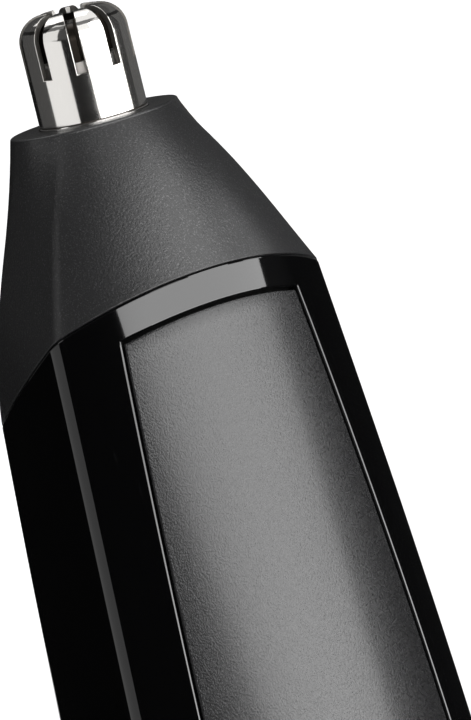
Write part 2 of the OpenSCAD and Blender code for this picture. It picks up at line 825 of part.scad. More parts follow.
// Slot in which the button's stem travels
module switch_slot() {
    bar(0, stem_w + 2 * stem_gap, -REACH, board_y,
        switch_z - stem_h / 2 - stem_gap, switch_z + stem_h / 2 + switch_travel + stem_gap);
}

// Textured panel that lies in the housing's window
module grip_panel() {
    cols = 2 * PANEL_STEPS + 1;
    planes = [for (i = [0 : PANEL_ROWS]) panel_plane(i / PANEL_ROWS, panel_gap)];
    function sheet(off) = [
        for (p = planes, k = [-PANEL_STEPS : PANEL_STEPS]) face_point(k, p[0], p[1], off, panel_gap)
    ];
    back = len(planes) * cols;
    function at(i, k) = i * cols + k;
    faces = concat(
        joined([
            for (i = [0 : PANEL_ROWS - 1], k = [0 : cols - 2]) concat(
                patch(at(i, k), at(i, k + 1), at(i + 1, k + 1), at(i + 1, k)),
                patch(back + at(i, k), back + at(i + 1, k), back + at(i + 1, k + 1), back + at(i, k + 1))
            )
        ]),
        joined([
            for (k = [0 : cols - 2]) concat(
                patch(at(0, k + 1), at(0, k), back + at(0, k), back + at(0, k + 1)),
                patch(at(PANEL_ROWS, k), at(PANEL_ROWS, k + 1),
                    back + at(PANEL_ROWS, k + 1), back + at(PANEL_ROWS, k))
            )
        ]),
        joined([
            for (i = [0 : PANEL_ROWS - 1]) concat(
                patch(at(i, 0), at(i + 1, 0), back + at(i + 1, 0), back + at(i, 0)),
                patch(at(i + 1, cols - 1), at(i, cols - 1),
                    back + at(i, cols - 1), back + at(i + 1, cols - 1))
            )
        ])
    );
    color([0.22, 0.22, 0.23]) difference() {
        polyhedron(points = concat(sheet(-panel_sink), sheet(EPS - pocket)), faces = faces);
        switch_slot();
    }
}

// Arc of the panel's face at the switch, as its centre's place behind the face and its radius
switch_arc = arcs_at(switch_z + switch_travel / 2)[0];
panel_r = switch_arc[1] - panel_sink;
module arc_solid(r, h) {
    translate([0, switch_arc[0][1], switch_z - h / 2]) cylinder(r = r, h = h, $fn = 128);
}

// Outline of the slide button as seen from the front
module button_outline() {
    r = button_w / 3;
    translate([r - button_w / 2, -button_h / 2]) square([button_w - 2 * r, button_h]);
    translate([-button_w / 2, r - button_h / 2]) square([button_w, button_h - 2 * r]);
    for (x = [-1, 1], z = [-1, 1])
        translate([x * (button_w / 2 - r), z * (button_h / 2 - r)]) circle(r);
}

stem_root = 0.5;
rib_depth = 0.4;
module switch_button() {
    rib_pitch = button_h / (button_ribs + 3);
    color([0.1, 0.1, 0.1]) union() {
        difference() {
            intersection() {
                difference() {
                    arc_solid(panel_r + button_rise, button_h);
                    arc_solid(panel_r + button_gap, button_h + 2 * CUT);
                }
                translate([0, 0, switch_z]) rotate([90, 0, 0]) linear_extrude(REACH) button_outline();
            }
            for (i = [0 : button_ribs - 1])
                translate([0, 0, switch_z + (i - (button_ribs - 1) / 2) * rib_pitch - rib_pitch / 4])
                    difference() {
                        bar(0, 2 * button_w, -REACH, 0, 0, rib_pitch / 2);
                        translate([0, switch_arc[0][1], -CUT])
                            cylinder(r = panel_r + button_rise - rib_depth, h = rib_pitch + CUT, $fn = 128);
                    }
        }
        bar(0, stem_w, crown_y(switch_z) + panel_sink - button_gap - stem_root, carrier_y + carrier_t,
            switch_z - stem_h / 2, switch_z + stem_h / 2);
    }
}

// Carrier inside the housing, snapped on the button's stem
module switch_carrier() {
    color("ivory") difference() {
        bar(0, carrier_w, carrier_y, carrier_y + carrier_t,
            switch_z - carrier_h / 2, switch_z + carrier_h / 2);
        bar(0, stem_w + 2 * EPS, carrier_y - CUT, carrier_y + carrier_t + CUT,
            switch_z - stem_h / 2 - EPS, switch_z + stem_h / 2 + EPS);
    }
}

// Bridge on the carrier's back that closes the two contacts of the board
wiper_w = 5;
wiper_h = 10;
module switch_wiper() {
    color("goldenrod")
        bar(0, wiper_w, wiper_y, wiper_y + strip_t, switch_z - wiper_h / 2, switch_z + wiper_h / 2);
}

// Board ahead of the cell, from below the lower contact to the shelf's lead
board_w = 11;
board_low = 14;
board_high = 10;
module switch_board() {
    color("darkgreen")
        bar(0, board_w, board_y - board_t, board_y, shelf_z - board_low, shelf_z + board_high);
}

contact_w = 4;
contact_h = 5;
contact_pitch = 7;
module switch_contacts() {
    color("goldenrod") for (i = [0, 1])
        translate([0, 0, switch_z - wiper_h / 2 + i * contact_pitch])
            bar(0, contact_w, contact_y, contact_y + strip_t, 0, contact_h);
}

module battery_cell() {
    color([0.75, 0.55, 0.2]) translate([0, -cell_ahead, cell_z]) union() {
        cylinder(d = cell_d, h = cell_l - nub_h);
        cylinder(r = nub_r, h = cell_l);
    }
}

// Plate under the shelf that meets the cell's nub, with a tab to the board
plate_w = 8;
module positive_contact() {
    color("goldenrod") bar(0, plate_w, board_y, plate_w / 2 - cell_ahead, cell_top_z, shelf_z);
}

// Strip behind the trough, from the battery cap's contact up to a motor terminal
strip_w = 4;
strip_step = 3;
strip_clear = 0.6;
lead_z = terminal_z + terminal_w;
module negative_strip() {
    y = trough_r - cell_ahead;
    color("goldenrod") union() {
        bar(0, strip_w, y, y + strip_t, plug_top_z + strip_clear, lead_z);
        bar(terminal_x / 2, terminal_x + strip_w, y, y + strip_t, lead_z - strip_step, lead_z);
        bar(terminal_x, terminal_w, strip_t / 2, y + strip_t, lead_z - strip_t, lead_z);
    }
}

// Strip from the board up to the other motor terminal
module motor_strip() {
    color("goldenrod") union() {
        bar(-terminal_x, terminal_w, board_y, board_y + strip_t, shelf_z + shelf_t, lead_z);
        bar(-terminal_x, terminal_w, board_y, -strip_t / 2, lead_z - strip_t, lead_z);
    }
}

// Ring of the body's section at the top of the cap, moved up or down unchanged
function straight_ring(z, off) = [for (p = face_ring(cap_h, 0, off)) [p[0], p[1], z]];

// Pull-off cap: the flat foot, the body's section and a straight plug that enters the housing
seal_h = 1;
seal_rise = 1.4;
seal_z = cap_h + seal_rise;
plug = -wall - plug_gap;
module battery_cap() {
    plug_in = plug - plug_wall;
    cap_top = cap_h - part_gap;
    plug_outline = [[cap_floor, plug_in], [plug_top_z, plug_in], [plug_top_z, plug], [cap_top, plug]];
    shell_outline = concat(
        [[cap_top, 0], [(cap_top + foot_round) / 2, 0]],
        [for (a = [0 : 30 : 90]) [foot_round * (1 - sin(a)), foot_round * (cos(a) - 1)]]
    );
    color([0.05, 0.05, 0.05]) ring_solid(concat(
        [for (p = plug_outline) straight_ring(p[0], p[1])],
        [for (p = shell_outline) face_ring(p[0], 0, p[1])]
    ));
}

// Flat sealing ring on the plug
module cap_seal() {
    outer = plug + plug_gap / 2;
    high = seal_z + seal_h;
    outline = [[high, plug], [high, outer], [seal_z, outer], [seal_z, plug]];
    color("dimgray") ring_band([for (p = outline) straight_ring(p[0], p[1])]);
}

// Plate on the cap's floor with a tab that reaches up to the strip behind the trough
cap_plate_r = 6;
tab_gap = 0.12;
module cap_contact() {
    tab_y = line_at(cap_h, back_line) + back_crown + plug - plug_wall - tab_gap - strip_t;
    color("goldenrod") union() {
        translate([0, -cell_ahead, cap_floor]) cylinder(r = cap_plate_r, h = strip_t);
        bar(0, strip_w, -cell_ahead, tab_y + strip_t, cap_floor, cap_floor + strip_t);
        bar(0, strip_w, tab_y, tab_y + strip_t, cap_floor, plug_top_z + strip_clear / 2);
    }
}

// Conical coil that presses the cell up
contact_low_r = 5;
contact_high_r = 2.5;
contact_turns = 3;
module cap_spring() {
    low = cap_floor + strip_t + contact_wire / 2 + EPS;
    high = cell_z - contact_wire / 2 - EPS;
    path = coil_path(contact_low_r, contact_high_r, low, high, contact_turns);
    echo(cap_spring_gap = coil_gap(path, contact_wire));
    color("silver") translate([0, -cell_ahead, 0]) wire(path, contact_wire / 2);
}

cutter_guard();
inner_cutter();
cutter_hub();
guard_retainer();
head_cap();
cutter_spring();
drive_dog();
motor_shaft();
motor_can();
motor_end_bell();
motor_terminals();
chassis();
chassis_screws();
neck_seal();
housing();
grip_panel();
switch_button();
switch_carrier();
switch_wiper();
switch_board();
switch_contacts();
battery_cell();
positive_contact();
negative_strip();
motor_strip();
battery_cap();
cap_seal();
cap_contact();
cap_spring();
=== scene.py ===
"""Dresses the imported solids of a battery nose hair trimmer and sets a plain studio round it."""

from math import asin, atan2, cos, pi, radians, sin, sqrt

import bmesh
import bpy
from bpy.props import FloatProperty, FloatVectorProperty, IntProperty, PointerProperty
from mathutils import Matrix, Vector


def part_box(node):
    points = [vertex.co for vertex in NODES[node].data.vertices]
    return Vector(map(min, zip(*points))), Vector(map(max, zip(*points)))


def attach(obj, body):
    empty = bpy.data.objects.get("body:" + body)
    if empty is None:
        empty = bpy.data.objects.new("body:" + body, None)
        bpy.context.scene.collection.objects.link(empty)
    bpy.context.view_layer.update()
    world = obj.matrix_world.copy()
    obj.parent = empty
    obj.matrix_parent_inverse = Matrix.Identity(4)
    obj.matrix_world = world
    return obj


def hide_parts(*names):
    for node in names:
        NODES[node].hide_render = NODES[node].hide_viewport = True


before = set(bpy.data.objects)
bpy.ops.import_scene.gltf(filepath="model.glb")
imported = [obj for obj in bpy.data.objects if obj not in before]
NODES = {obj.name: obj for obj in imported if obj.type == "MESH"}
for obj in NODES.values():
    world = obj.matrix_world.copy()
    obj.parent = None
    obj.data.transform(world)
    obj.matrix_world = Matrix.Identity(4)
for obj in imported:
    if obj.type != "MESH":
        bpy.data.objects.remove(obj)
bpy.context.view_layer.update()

bl_info = {
    "name": "Nose Hair Trimmer",
    "version": (1, 0, 0),
    "blender": (4, 5, 0),
    "location": "3D View > Sidebar > Trimmer",
    "description": "Dresses the solids of a nose hair trimmer and sets a plain studio round it",
    "category": "Object",
}

MM = 0.001

# Heights and sizes of the solids, in millimetres
HEAD_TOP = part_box("head_cap")[1].z / MM
CAP_PLUG_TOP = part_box("battery_cap")[1].z / MM
BELLY_Z = 46.0
NECK_Z = HEAD_TOP - 14.2
PART_Z = HEAD_TOP - 19.7
PART_SLOPE = 0.58
PART_GAP = 0.25
SEAM = 0.14
CAP_H = 14.0
BAND_H = 2.6
PANEL_END_Z = 26.0
PANEL_END_SLOPE = -0.3
BACK_CROWN = 5.4
SIDE_BOW = 0.35
CORNER_R = 2.0
WALL = 1.6

# Lines that the section follows: at the neck, belly and foot, and the flare at the neck
HALF_W = (12.2, 15.5, 13.4, 0.066)
FRONT = (7.9, 11.0, 8.8, 0.08)
BACK = (3.65, 2.8, 2.7, 0.0)
CROWN = (4.9, 7.5, 6.0, 0.049)
PANEL = (8.2, 11.8, 10.0, 0.1)

# Steps along half a section: panel, frame, corner, side band, corner, back
STRETCHES = (12, 4, 8, 6, 8, 12)
HALF = sum(STRETCHES)
RING = 2 * HALF
PANEL_STEPS = STRETCHES[0]
FRONT_RIDGE = STRETCHES[0] + STRETCHES[1] + STRETCHES[2] / 2
BACK_RIDGE = FRONT_RIDGE + STRETCHES[2] + STRETCHES[3]


# Section of the body

def line_at(z, line):
    """Value of a section line at a height."""
    if z >= BELLY_Z:
        t = (NECK_Z - z) / (NECK_Z - BELLY_Z)
        rise = (line[1] - line[0]) * t * t * (3 - 2 * t)
        return line[0] + rise + line[3] * (NECK_Z - BELLY_Z) * t * (1 - t) ** 2
    u = (BELLY_Z - z) / BELLY_Z
    return line[1] - (line[1] - line[2]) * u * u


def crossing(a, ra, b, rb):
    """Crossing, on the +X side, of two circles."""
    d = b - a
    n = d.length
    k = (n * n + ra * ra - rb * rb) / (2 * n)
    h = sqrt(max(0.0, ra * ra - k * k))
    e = d / n
    side = Vector((-e.y, e.x))
    return max((a + e * k + side * h, a + e * k - side * h), key=lambda p: p.x)


def angle_to(a, b):
    return atan2(b.y - a.y, b.x - a.x)


def arcs_at(z, window_cut):
    """Arcs of half a section as centre, radius, first and last angle."""
    w, front, back, crown = (line_at(z, line) for line in (HALF_W, FRONT, BACK, CROWN))
    rf = (w * w + crown * crown) / (2 * crown)
    rb = (w * w + BACK_CROWN ** 2) / (2 * BACK_CROWN)
    half_side = (front + back) / 2
    rs = (half_side ** 2 + SIDE_BOW ** 2) / (2 * SIDE_BOW)
    cf = Vector((0, rf - front - crown))
    cb = Vector((0, back + BACK_CROWN - rb))
    cs = Vector((w + SIDE_BOW - rs, (back - front) / 2))
    c1 = crossing(cf, rf - CORNER_R, cs, rs - CORNER_R)
    c2 = crossing(cb, rb - CORNER_R, cs, rs - CORNER_R)
    a1, s1, s2, b2 = angle_to(cf, c1), angle_to(cs, c1), angle_to(cs, c2), angle_to(cb, c2)
    window = asin((line_at(z, PANEL) - window_cut) / rf) - pi / 2
    return (
        (cf, rf, -pi / 2, window), (cf, rf, window, a1), (c1, CORNER_R, a1, s1),
        (cs, rs, s1, s2), (c2, CORNER_R, s2, b2), (cb, rb, b2, pi / 2),
    )


def section_point(step, z, off, window_cut=0.0):
    """Point of the section at a step from the front's middle, moved out by off."""
    step = (step + HALF) % RING - HALF
    left, rest = step < 0, abs(step)
    for steps, (centre, radius, first, last) in zip(STRETCHES, arcs_at(z, window_cut)):
        if rest <= steps + 1e-6:
            break
        rest -= steps
    a = first + (last - first) * rest / steps
    p = centre + (radius + off) * Vector((cos(a), sin(a)))
    return Vector((-p.x, p.y)) if left else p


def face_point(step, z, slope, off, window_cut=0.0):
    """Point of the face on a plane that meets the axis at z and rises towards the front."""
    p = section_point(step, z, off, window_cut)
    for _ in range(3):
        p = section_point(step, z - slope * p.y, off, window_cut)
    return Vector((p.x, p.y, z - slope * p.y))


def face_ring(z, slope, off, window_cut=0.0):
    return [face_point(j, z, slope, off, window_cut) for j in range(RING)]


def straight_ring(z, off):
    """The section at the battery cap's top, moved up or down unchanged."""
    return [Vector((p.x, p.y, z)) for p in face_ring(CAP_H, 0, off)]


def circle_ring(r, z, angles):
    return [Vector((r * sin(a), -r * cos(a), z)) for a in angles]


def quarter(steps):
    """Angles of a quarter turn in even steps, with both ends."""
    return [radians(90 * i / steps) for i in range(steps + 1)]


# Mesh helpers

MERGE_DIST = 1e-4
CUT_DIST = 1e-5
CUT_REACH = 6.0
SHARP_ANGLE = radians(20)


def verts_of(geom):
    return [g for g in geom if isinstance(g, bmesh.types.BMVert)]


def drawn_from(vert, fresh):
    """The new vertex that an extrusion drew from a vertex, or none."""
    return next((e.other_vert(vert) for e in vert.link_edges if e.other_vert(vert) in fresh), None)


def ring_start(bm, points):
    """Closed ring of vertices laid on points."""
    ring = bmesh.ops.create_circle(bm, segments=len(points), radius=1.0)["verts"]
    for v, p in zip(ring, points):
        v.co = p
    return ring


def ring_edges(bm, ring):
    return [bm.edges.get(pair) for pair in zip(ring, ring[1:] + ring[:1])]


def ring_on(bm, ring, points):
    """Extrudes a ring and lays the new one on points."""
    fresh = set(verts_of(bmesh.ops.extrude_edge_only(bm, edges=ring_edges(bm, ring))["geom"]))
    after = [drawn_from(v, fresh) for v in ring]
    for v, p in zip(after, points):
        v.co = p
    return after


def loft(bm, rings, closed=False):
    """Skin through rings of points; a closed one ends on its first ring."""
    made = [ring_start(bm, rings[0])]
    for points in rings[1:]:
        made.append(ring_on(bm, made[-1], points))
    if closed:
        bmesh.ops.weld_verts(bm, targetmap=dict(zip(ring_on(bm, made[-1], rings[0]), made[0])))
    return made


def fill_open(bm):
    bmesh.ops.holes_fill(bm, edges=[e for e in bm.edges if e.is_boundary], sides=0)


def face_out(bm):
    bmesh.ops.recalc_face_normals(bm, faces=bm.faces[:])


def round_edges(bm, edges, radius, segments=2):
    bmesh.ops.bevel(
        bm, geom=edges, offset=radius, offset_type="OFFSET", segments=segments, profile=0.5,
        affect="EDGES", material=-1, clamp_overlap=True,
    )


def turned(bm, profile, steps=96):
    """Closed profile of radius and height, turned about the drive axis."""
    verts = [bm.verts.new((r, 0, z)) for r, z in profile]
    edges = [bm.edges.new(pair) for pair in zip(verts, verts[1:] + verts[:1])]
    bmesh.ops.spin(
        bm, geom=verts + edges, cent=(0, 0, 0), axis=(0, 0, 1), angle=2 * pi, steps=steps,
        use_merge=True, use_duplicate=False,
    )


def block(bm, low, high):
    """Box between two corners."""
    low, high = Vector(low), Vector(high)
    place = Matrix.Translation((low + high) / 2) @ Matrix.Diagonal((*(high - low), 1))
    bmesh.ops.create_cube(bm, size=1.0, matrix=place)


def cut_slot(bm, half_w, z0, z1, behind):
    """Cuts an upright slot through both faces of the front wall and joins its rims."""
    def faces_within(half, low, high):
        middles = [(f, f.calc_center_median()) for f in bm.faces]
        return [f for f, p in middles if p.y < behind and abs(p.x) < half and low < p.z < high]

    for place, normal in (
        ((half_w, 0, 0), (1, 0, 0)), ((-half_w, 0, 0), (1, 0, 0)),
        ((0, 0, z0), (0, 0, 1)), ((0, 0, z1), (0, 0, 1)),
    ):
        near = faces_within(3 * half_w, z0 - CUT_REACH, z1 + CUT_REACH)
        parts = {e for f in near for e in f.edges} | {v for f in near for v in f.verts}
        bmesh.ops.bisect_plane(bm, geom=[*parts, *near], dist=CUT_DIST, plane_co=place, plane_no=normal)
    inside = faces_within(half_w, z0, z1)
    rims = [e for e in {e for f in inside for e in f.edges} if sum(f in inside for f in e.link_faces) == 1]
    bmesh.ops.delete(bm, geom=inside, context="FACES_KEEP_BOUNDARY")
    bmesh.ops.bridge_loops(bm, edges=rims)


def new_object(bm, name, materials):
    """Links a new object with the mesh of a bmesh."""
    mesh = bpy.data.meshes.new(name)
    bm.to_mesh(mesh)
    bm.free()
    for material in materials:
        mesh.materials.append(material)
    thing = bpy.data.objects.new(name, mesh)
    bpy.context.scene.collection.objects.link(thing)
    return thing


def piece_from(bm, name, body, slot, node, *materials, true_normal=None):
    """Turns a bmesh in millimetres into a piece that rides on a body and stands for a node."""
    bmesh.ops.remove_doubles(bm, verts=bm.verts[:], dist=MERGE_DIST)
    face_out(bm)
    bmesh.ops.scale(bm, vec=(MM, MM, MM), verts=bm.verts[:])
    piece = new_object(bm, name, materials)
    mesh = piece.data
    mesh.polygons.foreach_set("use_smooth", [True] * len(mesh.polygons))
    mesh.set_sharp_from_angle(angle=SHARP_ANGLE)
    if true_normal:
        corners = [(mesh.vertices[i].co / MM, face.normal) for face in mesh.polygons for i in face.vertices]
        mesh.normals_split_custom_set([true_normal(*corner) for corner in corners])
    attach(piece, body)
    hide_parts(node)


# Materials

WHITE = (1.0, 1.0, 1.0, 1.0)
STIPPLE_DRAW = (1.0, 1.0, 0.6)
STIPPLE_SHIFT = (0.0313, 0.0171, 0.0237)
STIPPLE_WANDER = (0.0001, 0.0001, 0.0001)
SCRATCH_DRAW = (1.0, 1.0, 0.03)
SCRATCH_TURN = (0.3, 0.5, 0.2)


def feed(tree, socket, value):
    """Links another node's socket to a socket, or sets a fixed value on it."""
    if isinstance(value, bpy.types.NodeSocket):
        tree.links.new(value, socket)
    else:
        socket.default_value = value


def math_node(tree, operation, *values):
    node = tree.nodes.new("ShaderNodeMath")
    node.operation = operation
    for socket, value in zip(node.inputs, values):
        feed(tree, socket, value)
    return node.outputs[0]


def vector_node(tree, operation, *values):
    node = tree.nodes.new("ShaderNodeVectorMath")
    node.operation = operation
    for socket, value in zip(node.inputs, values):
        feed(tree, socket, value)
    return node.outputs["Value" if operation in ("DOT_PRODUCT", "LENGTH") else "Vector"]


def object_coords(tree):
    return tree.nodes.new("ShaderNodeTexCoord").outputs["Object"]


def object_axis(tree, axis):
    """One of the object coordinates."""
    split = tree.nodes.new("ShaderNodeSeparateXYZ")
    tree.links.new(object_coords(tree), split.inputs[0])
    return split.outputs[axis]


def noise(tree, scale, detail, rough=0.5, vector=None, output="Fac"):
    """Noise on object coordinates or another vector; its scale is a number or a socket."""
    node = tree.nodes.new("ShaderNodeTexNoise")
    node.inputs["Detail"].default_value = detail
    node.inputs["Roughness"].default_value = rough
    tree.links.new(object_coords(tree) if vector is None else vector, node.inputs["Vector"])
    feed(tree, node.inputs["Scale"], scale)
    return node.outputs[output]


def remapped(tree, value, low, high, first=0.0, last=1.0, ease="SMOOTHSTEP"):
    """Value that goes from first to last while another goes from low to high."""
    node = tree.nodes.new("ShaderNodeMapRange")
    node.interpolation_type = ease
    for label, number in (("From Min", low), ("From Max", high), ("To Min", first), ("To Max", last)):
        node.inputs[label].default_value = number
    tree.links.new(value, node.inputs["Value"])
    return node.outputs["Result"]


def group_named(name, inputs, outputs):
    """New shader group with its sockets and its group input and output nodes."""
    tree = bpy.data.node_groups.new(name, "ShaderNodeTree")
    for label, value in inputs.items():
        socket = tree.interface.new_socket(label, in_out="INPUT", socket_type="NodeSocketFloat")
        socket.default_value = value
    for label in outputs:
        tree.interface.new_socket(label, in_out="OUTPUT", socket_type="NodeSocketFloat")
    return tree, tree.nodes.new("NodeGroupInput"), tree.nodes.new("NodeGroupOutput")


def speckle_group():
    """Fine moulded speckle: a height, and a mask of small specks on which glints are painted."""
    tree, start, end = group_named("Moulded Speckle", {"Scale": 5000.0}, ["Height", "Specks"])
    scale = start.outputs["Scale"]
    dots = noise(tree, math_node(tree, "MULTIPLY", scale, 1.7), 1.0)
    tree.links.new(noise(tree, scale, 2.0, 0.6), end.inputs["Height"])
    tree.links.new(remapped(tree, dots, 0.55, 0.75), end.inputs["Specks"])
    return tree


def stipple_group():
    """Leather-like stipple: rounded pebbles with creases between them."""
    tree, start, end = group_named("Leather Stipple", {"Scale": 2600.0}, ["Height", "Creases"])
    scale = start.outputs["Scale"]
    drawn = vector_node(tree, "MULTIPLY_ADD", object_coords(tree), STIPPLE_DRAW, STIPPLE_SHIFT)
    wander = noise(tree, scale, 1.0, vector=drawn, output="Color")
    cells = tree.nodes.new("ShaderNodeTexVoronoi")
    cells.feature = "SMOOTH_F1"
    cells.inputs["Smoothness"].default_value = 0.3
    tree.links.new(vector_node(tree, "MULTIPLY_ADD", wander, STIPPLE_WANDER, drawn), cells.inputs["Vector"])
    tree.links.new(scale, cells.inputs["Scale"])
    away = cells.outputs["Distance"]
    broad = noise(tree, math_node(tree, "MULTIPLY", scale, 0.45), 2.0)
    dome = math_node(tree, "SUBTRACT", 1.0, away)
    height = math_node(tree, "ADD", dome, math_node(tree, "MULTIPLY", broad, 0.1))
    tree.links.new(height, end.inputs["Height"])
    tree.links.new(remapped(tree, away, 0.45, 0.85), end.inputs["Creases"])
    return tree


def handling_group():
    """Traces of use on polished faces: soft smears and hair-fine scratches."""
    tree, start, end = group_named("Handling Traces", {"Scale": 60.0}, ["Smears", "Scratches"])
    scale = start.outputs["Scale"]
    drawn = tree.nodes.new("ShaderNodeMapping")
    drawn.inputs["Scale"].default_value = SCRATCH_DRAW
    drawn.inputs["Rotation"].default_value = SCRATCH_TURN
    tree.links.new(object_coords(tree), drawn.inputs["Vector"])
    lines = noise(tree, math_node(tree, "MULTIPLY", scale, 60.0), 2.0, vector=drawn.outputs["Vector"])
    tree.links.new(remapped(tree, noise(tree, scale, 3.0), 0.35, 0.75), end.inputs["Smears"])
    tree.links.new(remapped(tree, lines, 0.66, 0.8), end.inputs["Scratches"])
    return tree


def bend_shade_group():
    """Uneven line round the drive axis at one height, the mask of the painted shade along the bend."""
    tree, start, end = group_named("Painted Bend Shade", {"Height": 0.0, "Half Width": 0.00016}, ["Line"])
    above = math_node(tree, "SUBTRACT", object_axis(tree, "Z"), start.outputs["Height"])
    share = math_node(tree, "DIVIDE", math_node(tree, "ABSOLUTE", above), start.outputs["Half Width"])
    ragged = math_node(tree, "SUBTRACT", noise(tree, 2500.0, 2.0), 0.5)
    uneven = remapped(tree, math_node(tree, "ADD", share, ragged), 0.5, 1.0)
    tree.links.new(math_node(tree, "SUBTRACT", 1.0, uneven), end.inputs["Line"])
    return tree


MADE = {}
GROUPS = {}
GROUP_MAKERS = {
    "speckle": speckle_group, "stipple": stipple_group, "handling": handling_group, "bend": bend_shade_group,
}


def placed_group(tree, name, **values):
    """Group node with its own values in a material's tree."""
    if name not in GROUPS:
        GROUPS[name] = GROUP_MAKERS[name]()
    node = tree.nodes.new("ShaderNodeGroup")
    node.node_tree = GROUPS[name]
    for label, value in values.items():
        node.inputs[label].default_value = value
    return node


def principled(name, color, rough, metallic=0.0, **sockets):
    """New material with its shader's even values set; returns material, tree and shader."""
    material = MADE[name] = bpy.data.materials.new(name)
    material.use_nodes = True
    tree = material.node_tree
    shader = tree.nodes["Principled BSDF"]
    shader.inputs["Base Color"].default_value = (*color, 1.0)
    shader.inputs["Roughness"].default_value = rough
    shader.inputs["Metallic"].default_value = metallic
    for label, value in sockets.items():
        shader.inputs[label.replace("_", " ")].default_value = value
    return material, tree, shader


def mixed_color(tree, shader, mask, low, high):
    """Base colour that goes from one tone, or a socket's, to another with a mask."""
    node = tree.nodes.new("ShaderNodeMix")
    node.data_type = "RGBA"
    feed(tree, node.inputs["A"], low if isinstance(low, bpy.types.NodeSocket) else (*low, 1.0))
    node.inputs["B"].default_value = (*high, 1.0)
    tree.links.new(mask, node.inputs["Factor"])
    tree.links.new(node.outputs["Result"], shader.inputs["Base Color"])


def ranged(tree, socket, mask, low, high):
    """A shader value that goes from low to high with a mask."""
    tree.links.new(remapped(tree, mask, 0.0, 1.0, low, high, "LINEAR"), socket)


def bumped(tree, shader, height, depth):
    node = tree.nodes.new("ShaderNodeBump")
    node.inputs["Strength"].default_value = 1.0
    node.inputs["Distance"].default_value = depth
    tree.links.new(height, node.inputs["Height"])
    tree.links.new(node.outputs["Normal"], shader.inputs["Normal"])


def soft_touch(name, color, scale, rough=0.33, depth=0.00003, painted_glint_lift=2.2, shine=0.48, sparkle=0.75):
    """Matte coat with a fine speckle; its specks get a painted glint, a lighter base colour, as well as a
    little real coat.
    """
    material, tree, shader = principled(
        name, color, rough, Specular_IOR_Level=shine, Coat_Roughness=rough)
    grain = placed_group(tree, "speckle", Scale=scale)
    # Painted glints: the base colour is lifted on the specks, standing in for highlights on the grain.
    mixed_color(tree, shader, grain.outputs["Specks"], color, [painted_glint_lift * c for c in color])
    ranged(tree, shader.inputs["Coat Weight"], grain.outputs["Specks"], 0.0, sparkle)
    ranged(tree, shader.inputs["Roughness"], grain.outputs["Height"], rough - 0.08, rough + 0.08)
    bumped(tree, shader, grain.outputs["Height"], depth)
    return material


def stippled_grip(name, color, scale, rough=0.24, depth=0.000027):
    """Leather-like stipple of the grip panel, with painted shade in its creases and painted shade under its
    upper edge, where its coat fades out.
    """
    material, tree, shader = principled(
        name, color, rough, Specular_IOR_Level=0.42, Coat_Roughness=rough)
    grain = placed_group(tree, "stipple", Scale=scale)
    # Painted shade: the creases between the pebbles get a darker base colour.
    mixed_color(tree, shader, grain.outputs["Creases"], color, [0.7 * c for c in color])
    ranged(tree, shader.inputs["Roughness"], grain.outputs["Creases"], rough - 0.03, rough + 0.08)
    # Painted shade under the window's upper edge: the coat's sheen fades out over the last two millimetres
    # below it.
    rise = vector_node(tree, "DOT_PRODUCT", object_coords(tree), (0, PART_SLOPE, 1))
    edge = (PART_Z - BAND_H) * MM
    coat = remapped(tree, rise, edge - 0.0018, edge - 0.0002, 0.6, 0.0)
    tree.links.new(coat, shader.inputs["Coat Weight"])
    bumped(tree, shader, grain.outputs["Height"], depth)
    return material


def polished(name, color, rough, metallic=0.0, smear=0.05, scale=60.0, **sockets):
    """Gloss plastic or bright metal with faint traces of handling."""
    material, tree, shader = principled(name, color, rough, metallic, **sockets)
    traces = placed_group(tree, "handling", Scale=scale)
    both = math_node(tree, "MAXIMUM", traces.outputs["Smears"], traces.outputs["Scratches"])
    ranged(tree, shader.inputs["Roughness"], both, rough, rough + smear)
    scratched = [min(1.0, 1.15 * c + 0.004) for c in color]
    mixed_color(tree, shader, traces.outputs["Scratches"], color, scratched)
    return material


def steel_with_bend_shade(name, color, rough=0.09):
    """Polished sheet with a painted dark line of shade along the crease where its fingers were bent over."""
    material = polished(name, color, rough, 0.98, smear=0.05, scale=220.0)
    tree = material.node_tree
    shader = tree.nodes["Principled BSDF"]
    line = placed_group(tree, "bend", Height=BEND_Z * MM)
    sheet = shader.inputs["Base Color"].links[0].from_socket
    # Painted shade: the base colour drops to a fifth along the bend crease.
    mixed_color(tree, shader, line.outputs["Line"], sheet, [0.2 * c for c in color])
    return material


def moulded(name, color, rough=0.5, shine=0.5):
    """Plain inner moulding with a slight unevenness and faint painted glints on its specks."""
    return soft_touch(name, color, 1800.0, rough, 0.000008, 1.15, shine, 0.1)


def glowing(name):
    """Black material that only glows; returns material, tree and the socket of its strength."""
    material, tree, shader = principled(
        name, (0.0, 0.0, 0.0), 1.0, Specular_IOR_Level=0.0, Emission_Color=WHITE)
    return material, tree, shader.inputs["Emission Strength"]


# Settings that a user would change

